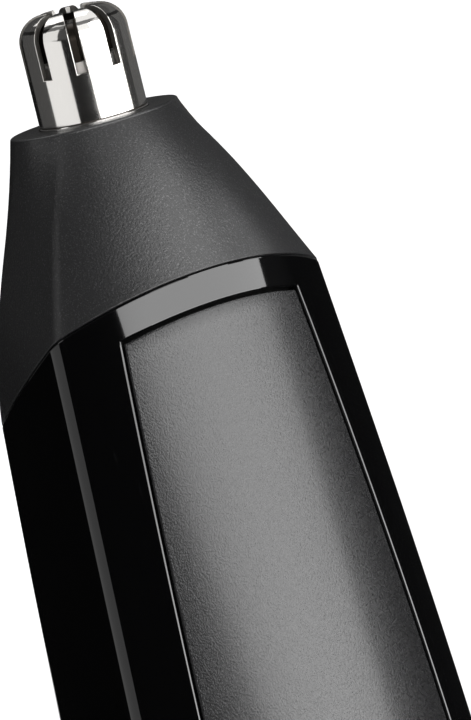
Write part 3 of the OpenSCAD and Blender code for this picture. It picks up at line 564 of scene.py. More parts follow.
class TrimmerSizes(bpy.types.PropertyGroup):
    edge_radius: FloatProperty(
        name="Edge radius", description="Rounding of the moulded shells' edges at the parting lines",
        default=0.0001, unit="LENGTH", precision=5)
    panel_sink: FloatProperty(
        name="Panel sink", description="How far the grip panel lies under the housing's face",
        default=0.00017, unit="LENGTH", precision=5)
    panel_gap: FloatProperty(
        name="Panel gap", description="Gap along the grip panel's sides, from the window's line",
        default=0.00038, unit="LENGTH", precision=5)
    panel_end_gap: FloatProperty(
        name="Panel end gap", description="Gap over and under the grip panel, from the window's line",
        default=0.00033, unit="LENGTH", precision=5)
    window_roll: FloatProperty(
        name="Window roll", description="Radius of the rolled edge round the grip panel's window",
        default=0.00017, unit="LENGTH", precision=5)
    guard_radius: FloatProperty(
        name="Guard radius", description="Outer radius of the cutter guard",
        default=0.00435, unit="LENGTH", precision=5)
    guard_sheet: FloatProperty(
        name="Guard sheet", description="Thickness of the cutter guard's sheet",
        default=0.0005, unit="LENGTH", precision=5)
    slots: IntProperty(name="Slots", description="Slots round the cutter guard", default=9, min=3)
    slot_width: FloatProperty(
        name="Slot width", description="Width of a slot in the cutter guard",
        default=0.00086, unit="LENGTH", precision=5)


class TrimmerFinish(bpy.types.PropertyGroup):
    head_color: FloatVectorProperty(
        name="Head", description="Soft-touch coat of the head", subtype="COLOR",
        default=(0.017, 0.017, 0.0177), min=0, max=1)
    body_color: FloatVectorProperty(
        name="Body", description="Gloss black of the housing and the battery cap", subtype="COLOR",
        default=(0.0019, 0.0019, 0.0021), min=0, max=1)
    grip_color: FloatVectorProperty(
        name="Grip", description="Stippled grip panel and slide button", subtype="COLOR",
        default=(0.021, 0.021, 0.0219), min=0, max=1)
    steel_color: FloatVectorProperty(
        name="Steel", description="Polished steel of the cutter guard", subtype="COLOR",
        default=(0.84, 0.82, 0.79), min=0, max=1)
    speckle_scale: FloatProperty(
        name="Speckle scale", description="Specks per metre of the head's coat", default=5200.0)
    stipple_scale: FloatProperty(
        name="Stipple scale", description="Pebbles per metre of the grip panel", default=9500.0)


class TrimmerStudio(bpy.types.PropertyGroup):
    main_light: FloatProperty(
        name="Main card", description="Radiance of the large card on the right", default=3.9)
    left_light: FloatProperty(
        name="Left card", description="Radiance of the card on the left", default=0.92)
    back_light: FloatProperty(
        name="Back softbox", description="Radiance of the softbox behind", default=0.9)
    fill: FloatProperty(
        name="Fill", description="Even light from all round", default=0.085)


def sizes_mm():
    """The sizes in millimetres by name."""
    sizes = bpy.context.scene.trimmer_sizes
    lengths = {k: getattr(sizes, k) / MM for k in TrimmerSizes.__annotations__ if k != "slots"}
    return lengths | {"slots": sizes.slots}


# Head

TOP_R = 7.12
TOP_DEPTH = (5.4, 5.8)
TOP_ROUND = 0.22
TOP_ROUND_STEPS = 4
TOP_WALL = 1.4
RIDGE_TURNS = (radians(44.4), radians(88))
FLANK_BOW = 0.032
BOW_SHIFT = 0.55
FLANK_WALL = 1.5
FLANK_ROWS = 18
INNER_ROWS = 8
SOCKET_R = 5.05
SOCKET_WALL = 1.0
SOCKET_DROP = 18.0
INNER_DROP = 1.0
GUARD_HOLE_R = 4.45


def turn_of(p):
    """Angle from the front, seen from above, to either side."""
    return atan2(abs(p.x), -p.y)


def top_ring(inset, z, angles):
    """Ring of the head's oval top, flatter to the front and back than to the sides."""
    points = []
    for a in angles:
        depth = TOP_DEPTH[0] if cos(a) > 0 else TOP_DEPTH[1]
        points.append(Vector(((TOP_R - inset) * sin(a), -(depth - inset) * cos(a), z)))
    return points


def looked_up(x, table):
    """Value between the pairs of a table, level beyond its ends."""
    if x <= table[0][0]:
        return table[0][1]
    for (x0, y0), (x1, y1) in zip(table, table[1:]):
        if x <= x1:
            return y0 + (y1 - y0) * (x - x0) / (x1 - x0)
    return table[-1][1]


def round_angles(rim):
    """Angles round the flat top at which the lines of the flank arrive."""
    front, back = (
        turn_of(face_point(ridge, PART_Z + SEAM, PART_SLOPE, 0)) for ridge in (FRONT_RIDGE, BACK_RIDGE))
    table = [(0, 0), (front, RIDGE_TURNS[0]), (back, RIDGE_TURNS[1]), (pi, pi)]
    return [(-1 if p.x < 0 else 1) * looked_up(turn_of(p), table) for p in rim]


def flank_ring(upper, lower, t, angles):
    """Ring part of the way down the flank, bowed outwards."""
    ring = []
    for a, b, turn in zip(upper, lower, angles):
        d = b - a
        out = Vector((b.x, b.y, 0)).normalized()
        lean = d.dot(out)
        side = (out * -d.z + Vector((0, 0, lean))).normalized()
        shift = looked_up(abs(turn), [(RIDGE_TURNS[0], BOW_SHIFT), (RIDGE_TURNS[1], -BOW_SHIFT)])
        bow = 4 * FLANK_BOW * t * (1 - t) * (1 + shift * (1 - 2 * t)) * d.length
        ring.append(a + d * t + side * bow)
    return ring


class TRIMMER_OT_head(bpy.types.Operator):
    """Soft-touch head with its slanted rim and the socket for the neck tube"""
    bl_idname = "trimmer.add_head"
    bl_label = "Head"

    def execute(self, context):
        finish = context.scene.trimmer_finish
        rim = face_ring(PART_Z + SEAM, PART_SLOPE, 0)
        angles = round_angles(rim)
        rings = self.outside(rim, angles)
        rim_at = len(rings) - 1
        rings += self.inside(angles)
        bm = bmesh.new()
        made = loft(bm, rings, closed=True)
        round_edges(bm, ring_edges(bm, made[rim_at]), sizes_mm()["edge_radius"])
        coat = soft_touch("soft_touch_charcoal", finish.head_color, finish.speckle_scale)
        piece_from(bm, "head_shell", "head", "soft_touch", "head_cap", coat)
        return {"FINISHED"}

    def outside(self, rim, angles):
        """Rings from the guard's hole over the rounded top edge and down the flank to the rim."""
        rings = [circle_ring(GUARD_HOLE_R, HEAD_TOP, angles), top_ring(TOP_ROUND, HEAD_TOP, angles)]
        for a in quarter(TOP_ROUND_STEPS)[-2:0:-1]:
            rings.append(top_ring(TOP_ROUND * (1 - cos(a)), HEAD_TOP - TOP_ROUND * (1 - sin(a)), angles))
        top = top_ring(0, HEAD_TOP - TOP_ROUND, angles)
        return rings + [flank_ring(top, rim, i / FLANK_ROWS, angles) for i in range(FLANK_ROWS + 1)]

    def inside(self, angles):
        """Rings from the rim up inside the flank and down and up the neck tube's socket."""
        under, drop = HEAD_TOP - TOP_WALL, HEAD_TOP - SOCKET_DROP
        rim = face_ring(PART_Z + SEAM, PART_SLOPE, -FLANK_WALL)
        top = circle_ring(SOCKET_R + SOCKET_WALL, under - INNER_DROP, angles)
        rings = [flank_ring(top, rim, 1 - i / INNER_ROWS, angles) for i in range(INNER_ROWS + 1)]
        socket = ((SOCKET_R + SOCKET_WALL, drop), (SOCKET_R, drop), (SOCKET_R, under), (GUARD_HOLE_R, under))
        return rings + [circle_ring(r, z, angles) for r, z in socket]


# Housing and its grip panel

PANEL_ROWS = 30
BAND_ROWS = 2
FOOT_ROWS = 5
POCKET = 0.9
POCKET_DRAFT = 0.002
ROLL_STEPS = 5
END_BRIM = 0.06
SIDE_LAP = 0.09
LEVEL_STRIP = 0.03
PANEL_RIM = 0.2
PANEL_PLAY = 0.03
SWITCH_Z = 54.0
SWITCH_TRAVEL = 4.0
STEM_W = 3.0
STEM_H = 6.0
STEM_GAP = 0.3
SLOT_BEHIND = -12.0
INWARDS = -0.5


def plane_between(a, b, t):
    return tuple(p + (q - p) * t for p, q in zip(a, b))


def window_plane(t, inset=0.0):
    """Plane a share of the way down the window, as height on the axis and rise to the front."""
    top = (PART_Z - BAND_H - inset, PART_SLOPE)
    return plane_between(top, (PANEL_END_Z + inset, PANEL_END_SLOPE), t)


def switch_slot(bm):
    """Slot for the button's stem."""
    low = SWITCH_Z - STEM_H / 2 - STEM_GAP
    high = SWITCH_Z + STEM_H / 2 + SWITCH_TRAVEL + STEM_GAP
    cut_slot(bm, STEM_W / 2 + STEM_GAP, low, high, SLOT_BEHIND)


class TRIMMER_OT_housing(bpy.types.Operator):
    """Gloss housing with the window for the grip panel"""
    bl_idname = "trimmer.add_housing"
    bl_label = "Housing"

    def execute(self, context):
        size = sizes_mm()
        finish = context.scene.trimmer_finish
        top, end = window_plane(0, -END_BRIM), window_plane(1, -END_BRIM)
        planes = [plane_between((PART_Z, PART_SLOPE), top, i / BAND_ROWS) for i in range(BAND_ROWS)]
        planes += [window_plane(i / PANEL_ROWS, -END_BRIM) for i in range(PANEL_ROWS + 1)]
        planes += [plane_between(end, (CAP_H, 0.0), i / FOOT_ROWS) for i in range(1, FOOT_ROWS + 1)]
        rings = [face_ring(*p, 0, SIDE_LAP) for p in planes]
        rings += [face_ring(*p, -WALL) for p in planes[::-2] + planes[:1]]
        bm = bmesh.new()
        made = loft(bm, rings, closed=True)
        window = [
            bm.faces.get((made[i][k], made[i][k + 1], made[i + 1][k + 1], made[i + 1][k]))
            for i in range(BAND_ROWS, BAND_ROWS + PANEL_ROWS) for k in range(-PANEL_STEPS, PANEL_STEPS)
        ]
        edges = ring_edges(bm, made[0]) + ring_edges(bm, made[len(planes) - 1])
        face_out(bm)
        for inset, depth in self.rolled_edge(size["window_roll"]):
            bmesh.ops.inset_region(
                bm, faces=window, thickness=inset, depth=-depth, use_boundary=True, use_even_offset=True)
        for face in window + [f for f in bm.faces if self.is_inside(f)]:
            face.material_index = 1
        round_edges(bm, edges, size["edge_radius"])
        switch_slot(bm)
        gloss = polished(
            "gloss_black", finish.body_color, 0.045, smear=0.02,
            Coat_Weight=0.65, Coat_Roughness=0.02, IOR=1.5)
        matt = moulded("matt_inside", (0.003, 0.003, 0.003), 0.7, 0.05)
        piece_from(bm, "housing_shell", "handle", "gloss_black", "housing", gloss, matt)
        return {"FINISHED"}

    def rolled_edge(self, radius):
        """Steps inwards and down that round the window's edge and end on the pocket's floor."""
        turns = quarter(ROLL_STEPS)
        steps = [(radius * (sin(b) - sin(a)), radius * (cos(a) - cos(b))) for a, b in zip(turns, turns[1:])]
        return [(LEVEL_STRIP, 0.0)] + steps + [(POCKET_DRAFT, POCKET - radius)]

    def is_inside(self, face):
        """Whether a face of the shell looks towards the drive axis."""
        middle = face.calc_center_median()
        return face.normal.dot(Vector((middle.x, middle.y, 0)).normalized()) < INWARDS


class TRIMMER_OT_grip_panel(bpy.types.Operator):
    """Stippled panel that lies in the housing's window"""
    bl_idname = "trimmer.add_grip_panel"
    bl_label = "Grip panel"

    def execute(self, context):
        size = sizes_mm()
        finish = context.scene.trimmer_finish
        bm = bmesh.new()
        grid = bmesh.ops.create_grid(bm, x_segments=2 * PANEL_STEPS, y_segments=PANEL_ROWS, size=1.0)
        for v in grid["verts"]:
            plane = window_plane((1 - v.co.y) / 2, size["panel_end_gap"])
            v.co = face_point(v.co.x * PANEL_STEPS, *plane, -size["panel_sink"], size["panel_gap"])
        rim = [e for e in bm.edges if e.is_boundary]
        face_out(bm)
        if sum(f.normal.y for f in bm.faces) > 0:
            bmesh.ops.reverse_faces(bm, faces=bm.faces[:])
        bmesh.ops.solidify(bm, geom=bm.faces[:], thickness=POCKET - size["panel_sink"] - PANEL_PLAY)
        round_edges(bm, [e for e in rim if e.is_valid], PANEL_RIM)
        switch_slot(bm)
        stipple = stippled_grip("stippled_grip", finish.grip_color, finish.stipple_scale)
        piece_from(bm, "grip_panel_sheet", "handle", "grip_grain", "grip_panel", stipple)
        return {"FINISHED"}


# Switch button

BUTTON_W = 8.4
BUTTON_H = 15.0
BUTTON_ROUND = 2.8
BUTTON_EDGE = 0.3
BUTTON_RISE = 1.7
BUTTON_GAP = 0.3
BUTTON_COLUMNS = 20
BUTTON_ROWS = 76
BUTTON_RIBS = 4
RIB_PITCH = BUTTON_H / (BUTTON_RIBS + 3)
RIB_DEPTH = 0.4
RIB_HALF = 0.36
RIB_FLANK = 0.2
STEM_BACK = -14.24
STEM_ROOT = 0.4


def button_half_w(z):
    """Half width of the button's outline at a height from its middle."""
    past = abs(z) - (BUTTON_H / 2 - BUTTON_ROUND)
    if past <= 0:
        return BUTTON_W / 2
    return BUTTON_W / 2 - BUTTON_ROUND + sqrt(max(0.0, BUTTON_ROUND ** 2 - past ** 2))


def rib_dip(z):
    """Depth of the grooves across the button, with soft flanks."""
    nearest = min(abs(z - (i - (BUTTON_RIBS - 1) / 2) * RIB_PITCH) for i in range(BUTTON_RIBS))
    t = min(1.0, max(0.0, (RIB_PITCH * RIB_HALF - nearest) / (RIB_PITCH * RIB_FLANK)))
    return RIB_DEPTH * t * t * (3 - 2 * t)


class TRIMMER_OT_button(bpy.types.Operator):
    """Slide button with grooves across it and its stem"""
    bl_idname = "trimmer.add_button"
    bl_label = "Switch button"

    def execute(self, context):
        centre, radius, _, _ = arcs_at(SWITCH_Z + SWITCH_TRAVEL / 2, 0)[0]
        face_r = radius - sizes_mm()["panel_sink"]

        def on_arc(x, z, r):
            return Vector((x, centre.y - sqrt(r * r - x * x), SWITCH_Z + z))

        bm = bmesh.new()
        grid = bmesh.ops.create_grid(bm, x_segments=BUTTON_COLUMNS, y_segments=BUTTON_ROWS, size=1.0)
        for v in grid["verts"]:
            z = v.co.y * BUTTON_H / 2
            x = v.co.x * button_half_w(z)
            v.co = on_arc(x, z, face_r + BUTTON_RISE - rib_dip(z))
        rim = [e for e in bm.edges if e.is_boundary]
        for v in verts_of(bmesh.ops.extrude_edge_only(bm, edges=rim)["geom"]):
            v.co = on_arc(v.co.x, v.co.z - SWITCH_Z, face_r + BUTTON_GAP)
        fill_open(bm)
        face_out(bm)
        round_edges(bm, [e for e in rim if e.is_valid], BUTTON_EDGE)
        root = on_arc(0, 0, face_r + BUTTON_GAP + STEM_ROOT).y
        block(bm, (-STEM_W / 2, root, SWITCH_Z - STEM_H / 2), (STEM_W / 2, STEM_BACK, SWITCH_Z + STEM_H / 2))
        # The button's specks get the soft coat's painted glints as well.
        satin = soft_touch("satin_button", context.scene.trimmer_finish.grip_color, 4200.0, 0.4, 0.000008)
        piece_from(bm, "slide_button", "switch", "button_black", "switch_button", satin)
        return {"FINISHED"}


# Battery cap

CAP_FLOOR = 1.8
CAP_ROWS = 6
FOOT_ROUND = 1.4
FOOT_STEPS = 6
PLUG_GAP = 0.3
PLUG_WALL = 1.2


class TRIMMER_OT_battery_cap(bpy.types.Operator):
    """Battery cap with the flat foot and the plug that enters the housing"""
    bl_idname = "trimmer.add_battery_cap"
    bl_label = "Battery cap"

    def execute(self, context):
        plug = -WALL - PLUG_GAP
        inner = plug - PLUG_WALL
        top = CAP_H - PART_GAP
        rings = [
            straight_ring(CAP_FLOOR, inner), straight_ring(CAP_PLUG_TOP, inner),
            straight_ring(CAP_PLUG_TOP, plug), straight_ring(top, plug),
        ]
        rings += [face_ring(top + (FOOT_ROUND - top) * i / CAP_ROWS, 0, 0) for i in range(CAP_ROWS + 1)]
        for a in quarter(FOOT_STEPS)[1:]:
            rings.append(face_ring(FOOT_ROUND * (1 - sin(a)), 0, FOOT_ROUND * (cos(a) - 1)))
        bm = bmesh.new()
        _, plug_inner, plug_outer, _, upper_edge, *_ = loft(bm, rings)
        fill_open(bm)
        edges = [e for ring in (plug_inner, plug_outer, upper_edge) for e in ring_edges(bm, ring)]
        round_edges(bm, edges, sizes_mm()["edge_radius"])
        piece_from(
            bm, "battery_cap_shell", "battery_cover", "gloss_black", "battery_cap", MADE["gloss_black"])
        return {"FINISHED"}


# Cutter guard

GUARD_LIFT = 0.14
GUARD_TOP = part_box("cutter_guard")[1].z / MM + GUARD_LIFT
SHOULDER_R = 2.1
SHOULDER_Z = GUARD_TOP - SHOULDER_R
SHOULDER_STEPS = 10
MOUTH_R = 1.75
TIP_R = MOUTH_R + 0.05
BEND_Z = SHOULDER_Z + 1.15
SLOT_FLOOR = HEAD_TOP + 4.0
SLOT_TURN = 28.0
FINGER_STEPS = 10
FINGER_ROWS = 4
WALL_RISES = (1.2, 2.4)
WALL_TOP = SLOT_FLOOR - 0.1
GUARD_EDGE = 0.06
EDGE_TURN = radians(50)
EDGES_FROM = HEAD_TOP + 1.0
GROOVE = 0.11
COLLAR = (4.1, 4.4, HEAD_TOP - TOP_WALL, HEAD_TOP + 0.14)
FLANGE = (3.9, 4.95, HEAD_TOP - TOP_WALL - 0.6, HEAD_TOP - TOP_WALL)
GROOVE_Z = COLLAR[3] + GROOVE
OUTSIDE, SAWN, INSIDE, TIP = range(4)

# How far a face has to agree with the cup's direction to be of its outer or inner side, or drawn smooth
SIDE_SHARE = 0.6
DRAWN_SHARE = 0.96


def guard_points(r, z, size):
    """Ring of the guard whose columns keep to the slots' parallel edges."""
    points = []
    pitch = 2 * pi / size["slots"]
    edge = asin(size["slot_width"] / 2 / r)
    for i in range(size["slots"]):
        slot = radians(-90 - SLOT_TURN) + i * pitch
        turns = [slot - edge, slot]
        turns += [slot + edge + (pitch - 2 * edge) * k / FINGER_STEPS for k in range(FINGER_STEPS)]
        points += [Vector((r * cos(a), r * sin(a), z)) for a in turns]
    return points


def out_of_cup(point, radius):
    """Direction of the cup's outer side at a point: level on the wall, turning up on the shoulder."""
    out = Vector((point.x, point.y, 0))
    if point.z > SHOULDER_Z:
        out -= out.normalized() * min(out.length, radius - SHOULDER_R)
        out.z = point.z - SHOULDER_Z
    return out.normalized()


class TRIMMER_OT_guard(bpy.types.Operator):
    """Polished cutter guard: a drawn cup whose fingers bend over to an open mouth"""
    bl_idname = "trimmer.add_guard"
    bl_label = "Cutter guard"

    def execute(self, context):
        size = sizes_mm()
        radius = size["guard_radius"]
        bm = bmesh.new()
        self.add_fingers(bm, self.add_wall(bm, size), size)
        face_out(bm)
        if sum(f.normal.dot(f.calc_center_median() * Vector((1, 1, 0))) for f in bm.faces) < 0:
            bmesh.ops.reverse_faces(bm, faces=bm.faces[:])
        bmesh.ops.solidify(bm, geom=bm.faces[:], thickness=size["guard_sheet"])
        face_out(bm)
        for face in bm.faces:
            face.material_index = self.finish_of(face, radius)
        sharp = [
            e for e in bm.edges
            if len(e.link_faces) == 2 and e.calc_face_angle() > EDGE_TURN
            and min(v.co.z for v in e.verts) > EDGES_FROM
        ]
        round_edges(bm, sharp, GUARD_EDGE)
        for r0, r1, z0, z1 in (COLLAR, FLANGE):
            turned(bm, [(r0, z0), (r1, z0), (r1, z1 - GUARD_EDGE), (r1 - GUARD_EDGE, z1), (r0, z1)])
        piece_from(
            bm, "guard_cup", "head", "polished_steel", "cutter_guard",
            steel_with_bend_shade("polished_steel", context.scene.trimmer_finish.steel_color),
            polished("sawn_edge", (0.20, 0.19, 0.175), 0.45, 1.0, smear=0.2, scale=900.0),
            # Painted shade: the cup's inner side is a dark copy of its steel.
            polished("painted_shade_inside", (0.07, 0.062, 0.055), 0.45, 1.0, smear=0.1, scale=300.0),
            polished("bright_tip", (0.72, 0.70, 0.67), 0.42, 0.5, smear=0.2, scale=900.0),
            true_normal=lambda point, facing: self.drawn_normal(point, facing, radius))
        return {"FINISHED"}

    def add_wall(self, bm, size):
        """Closed wall from the flange up to the slots; returns its upper ring."""
        radius = size["guard_radius"]
        wall = [(radius - GROOVE, FLANGE[2]), (radius - GROOVE, GROOVE_Z), (radius, GROOVE_Z)]
        wall += [(radius, HEAD_TOP + rise) for rise in WALL_RISES] + [(radius, SLOT_FLOOR)]
        return loft(bm, [guard_points(r, z, size) for r, z in wall])[-1]

    def add_fingers(self, bm, ring, size):
        """Fingers between the slots, drawn from the wall's upper ring over the shoulder to the mouth."""
        radius = size["guard_radius"]
        rise = SHOULDER_Z - SLOT_FLOOR
        profile = [(radius, SLOT_FLOOR + rise * i / FINGER_ROWS) for i in range(1, FINGER_ROWS + 1)]
        for a in quarter(SHOULDER_STEPS)[1:]:
            profile.append((radius - SHOULDER_R * (1 - cos(a)), SHOULDER_Z + SHOULDER_R * sin(a)))
        profile.append((MOUTH_R, GUARD_TOP))
        per = FINGER_STEPS + 2
        fingers = [
            [(i * per + 2 + k) % len(ring) for k in range(FINGER_STEPS + 1)] for i in range(size["slots"])]
        for r, z in profile:
            edges = [bm.edges.get((ring[a], ring[b])) for f in fingers for a, b in zip(f, f[1:])]
            fresh = set(verts_of(bmesh.ops.extrude_edge_only(bm, edges=edges)["geom"]))
            ring = [drawn_from(v, fresh) if v else None for v in ring]
            for v, p in zip(ring, guard_points(r, z, size)):
                if v:
                    v.co = p

    def drawn_normal(self, point, facing, radius):
        """Normal of the drawn cup at a point of its outer face, or none elsewhere."""
        out = out_of_cup(point, radius)
        return out if facing.dot(out) > DRAWN_SHARE else Vector((0, 0, 0))

    def finish_of(self, face, radius):
        """Material index of a face of the sheet: outside, sawn edge, inside or tip."""
        middle = face.calc_center_median()
        if Vector((middle.x, middle.y)).length < TIP_R:
            return TIP
        if middle.z < GROOVE_Z:
            return INSIDE
        facing = face.normal.dot(out_of_cup(middle, radius))
        if facing < -SIDE_SHARE:
            return INSIDE
        return OUTSIDE if facing > SIDE_SHARE or middle.z < WALL_TOP else SAWN


# Inner cutter

CUTTER_R = 3.5
RIM_T = 0.75
RIM_TOP = SLOT_FLOOR + 0.85
BLADES = 3
BLADE_T = 0.5
BLADE_ROUND = 1.35
BLADE_STEPS = 6
BLADE_REACH = CUTTER_R - 0.02


class TRIMMER_OT_cutter(bpy.types.Operator):
    """Turning cutter: a bright rim and blades that sweep under the fingers"""
    bl_idname = "trimmer.add_cutter"
    bl_label = "Inner cutter"

    def execute(self, context):
        low, high = (corner.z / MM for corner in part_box("inner_cutter"))
        inner = CUTTER_R - RIM_T
        bm = bmesh.new()
        turned(bm, [(CUTTER_R, low), (CUTTER_R, RIM_TOP), (inner, RIM_TOP), (inner, low)])
        rim = len(bm.faces)
        for i in range(BLADES):
            self.add_blade(bm, low, high, 2 * pi * i / BLADES)
        for face in list(bm.faces)[rim:]:
            face.material_index = 1
        piece_from(
            bm, "cutter_blades", "cutter", "cutter_steel", "inner_cutter",
            polished("cutter_steel", (0.80, 0.76, 0.72), 0.35, 0.5, smear=0.12, scale=400.0),
            # Painted shade: the blades' steel is darkened to stand in for the shade inside the guard.
            polished("painted_shade_blade_steel", (0.032, 0.027, 0.022), 0.32, 1.0, smear=0.12, scale=500.0))
        return {"FINISHED"}

    def add_blade(self, bm, low, high, turn):
        """Upright sheet from the axis to the guard's wall with a round upper corner."""
        outline = [(0, low), (BLADE_REACH, low)]
        for a in quarter(BLADE_STEPS):
            outline.append((BLADE_REACH - BLADE_ROUND * (1 - cos(a)), high - BLADE_ROUND * (1 - sin(a))))
        outline.append((0, high))
        place = Matrix.Rotation(turn, 3, "Z")
        face = bm.faces.new([bm.verts.new(place @ Vector((r, -BLADE_T / 2, z))) for r, z in outline])
        geom = bmesh.ops.extrude_face_region(bm, geom=[face], use_keep_orig=True)["geom"]
        bmesh.ops.translate(bm, vec=place @ Vector((0, BLADE_T, 0)), verts=verts_of(geom))


# Springs

# Name, body, node, lower and upper radius, radius of the wire, turns
COILS = (
    ("hub_spring_coil", "rotor", "cutter_spring", (2.4, 2.4), 0.25, 4),
    ("cell_spring_coil", "battery_cover", "cap_spring", (5.0, 2.5), 0.3, 3),
)


def coil(bm, low_r, high_r, wire_r, z0, z1, turns, around, sides=12, steps=40):
    """Coil of round wire that rises from z0 to z1 while its radius changes."""
    place = Matrix.Translation((low_r, 0, z0)) @ Matrix.Rotation(pi / 2, 4, "X")
    ring = bmesh.ops.create_circle(bm, segments=sides, radius=wire_r, matrix=place)["verts"]
    edges = list({e for v in ring for e in v.link_edges})
    bmesh.ops.spin(
        bm, geom=ring + edges, cent=(0, 0, 0), axis=(0, 0, 1), dvec=(0, 0, (z1 - z0) / (turns * steps)),
        angle=2 * pi * turns, steps=turns * steps, use_merge=False, use_duplicate=False,
    )
    fill_open(bm)
    for v in bm.verts:
        out = Vector((v.co.x, v.co.y, 0))
        t = min(1.0, max(0.0, (v.co.z - z0) / (z1 - z0)))
        v.co += out.normalized() * (high_r - low_r) * t
    bmesh.ops.translate(bm, vec=around, verts=bm.verts[:])


class TRIMMER_OT_springs(bpy.types.Operator):
    """Coil under the cutter's hub and conical coil under the cell"""
    bl_idname = "trimmer.add_springs"
    bl_label = "Springs"

    def execute(self, context):
        wire = polished("spring_wire", (0.60, 0.60, 0.59), 0.2, 1.0, smear=0.12, scale=300.0)
        for name, body, node, radii, wire_r, turns in COILS:
            low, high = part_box(node)
            middle = ((low + high) / 2) / MM
            around = (0, middle.y, 0) if node == "cap_spring" else (0, 0, 0)
            bm = bmesh.new()
            coil(bm, *radii, wire_r, low.z / MM + wire_r, high.z / MM - wire_r, turns, around)
            piece_from(bm, name, body, "spring_steel", node, wire)
        return {"FINISHED"}


# Carried-over solids

class TRIMMER_OT_inner_parts(bpy.types.Operator):
    """Finishes of the solids that are shown as they are"""
    bl_idname = "trimmer.finish_inner_parts"
    bl_label = "Inner parts"

    def execute(self, context):
        brass = polished("contact_brass", (0.62, 0.43, 0.16), 0.22, 1.0, smear=0.2, scale=150.0)
        bright = MADE["spring_wire"]
        white = moulded("white_moulding", (0.66, 0.65, 0.60))
        grey = moulded("grey_moulding", (0.09, 0.09, 0.095))
        rubber = moulded("seal_rubber", (0.012, 0.012, 0.012), 0.6)
        finishes = {
            "cutter_hub": grey, "guard_retainer": grey,
            "chassis": moulded("chassis_moulding", (0.028, 0.028, 0.03)),
            "drive_dog": white, "switch_carrier": white, "motor_end_bell": white,
            "motor_can": polished("zinc_can", (0.55, 0.55, 0.54), 0.28, 1.0, smear=0.15, scale=120.0),
            "motor_shaft": bright, "chassis_screws": bright,
            "motor_terminals": brass, "switch_wiper": brass, "switch_contacts": brass,
            "positive_contact": brass, "negative_strip": brass, "motor_strip": brass, "cap_contact": brass,
            "switch_board": moulded("board_lacquer", (0.012, 0.075, 0.03), 0.35),
            "neck_seal": rubber, "cap_seal": rubber,
            "battery_cell": polished("cell_sleeve", (0.20, 0.21, 0.22), 0.3, 0.6, smear=0.1, scale=80.0),
        }
        for node, material in finishes.items():
            mesh = NODES[node].data
            mesh.materials.clear()
            mesh.materials.append(material)
        return {"FINISHED"}


# Studio, in metres and degrees

CAMERA_YAW = radians(28.0)
CAMERA_RISE = radians(7.95)
CAMERA_ROLL = radians(13.75)
CAMERA_AWAY = 0.661
CAMERA_CLIP = (0.01, 20.0)
FOCAL_PIXELS = 8414.0
IMAGE = (471, 720)
HEAD_PIXEL = (94.0, 117.3)
SENSOR = 36.0
AIM_Z = 0.115
PLAIN_SHARE = 0.57
FLOOR_SIZE = 3.0

# Glows as two places and the strength at each: outwards on the floor, up the flags, towards an azimuth
FLOOR_GLOW = (0.1, 0.5, 0.68, 1.0)
FLAG_TOP_GLOW = (0.18, 0.24, 0.0, 0.05)
FLAG_GLOWS = ((62, -0.2, 0.45, 0.0045, 0.009), (50, 0.52, 0.607, 0.0, 0.036))

# Cards round the object, which face a bearing; their corners as azimuth and rise seen from the aim
CARD_AWAY = 0.36
MAIN_FACING = (18, 10)
MAIN_CARD = (
    (-40, 11.5), (-30, 9.5), (-7.5, -8), (-7, -16), (52, -12), (54, 0), (59.5, 3.5), (60, 7), (54, 24),
    (60, 54), (24, 50))
MAIN_FADES = (("X", -0.35, -0.05, 0.75, 1.0), ("Z", 0.06, 0.125, 1.55, 1.0))
LEFT_FACING = (-92, 15)
LEFT_CARD = ((-124, -11), (-57, -11), (-57, 6), (-80, 13), (-85, 42), (-104, 42), (-124, 14))

# Area light behind the object
BACK_FACING = (165, 62)
BACK_AWAY = 0.55
BACK_SIZE = 0.4
BACK_AIM_Z = 0.1

# Dark sectors over the object and on the table, and a flag by the front corner
FLAG_R = 0.62
FLAG_H = 0.9
FLAG_SIDES = 64
SECTOR_STEPS = 48
DARK_TOP = (-135, -10)
DARK_TABLE = (-172, 132)
TABLE_LIFT = 0.0002
CORNER_FLAG = (
    (-0.062, -0.018, 0.03), (-0.062, -0.018, 0.1195), (-0.056, -0.031, 0.1195), (-0.050, -0.044, 0.114),
    (-0.050, -0.044, 0.03))

# Small upright cards close by: two feet, low and high edge, radiance
NEAR_CARDS = (
    ((-0.050, 0.0195), (-0.0194, 0.0591), 0.1165, 0.165, 0.065),
    ((0.049, -0.022), (0.049, -0.006), 0.1165, 0.165, 0.03),
    ((0.049, -0.006), (0.034, 0.0405), 0.1165, 0.165, 0.095),
    ((-0.062, -0.018), (-0.047, 0.0286), 0.03, 0.1165, 0.53),
    ((0.0214, -0.019), (0.0242, -0.0142), 0.119, 0.134, 2.7),
    ((-0.0088, -0.0185), (0.0043, -0.0197), 0.1435, 0.165, 1.1),
    ((-0.020, 0.001), (-0.0170, -0.0100), 0.1385, 0.180, 0.86),
    ((-0.0170, -0.0100), (-0.0145, -0.0125), 0.157, 0.180, 0.86),
)


def ray_switch(tree, lit, seen):
    """Mixes two shaders so that camera, glossy and transmission rays meet the second."""
    path = tree.nodes.new("ShaderNodeLightPath")
    rays = math_node(tree, "MAXIMUM", path.outputs["Is Camera Ray"], path.outputs["Is Glossy Ray"])
    rays = math_node(tree, "MAXIMUM", rays, path.outputs["Is Transmission Ray"])
    mix = tree.nodes.new("ShaderNodeMixShader")
    for socket, value in zip(mix.inputs, (rays, lit, seen)):
        tree.links.new(value, socket)
    return mix.outputs["Shader"]


def bearing(azimuth, rise):
    """Direction at an azimuth from the front and a rise over the level."""
    a, e = radians(azimuth), radians(rise)
    return Vector((sin(a) * cos(e), -cos(a) * cos(e), sin(e)))


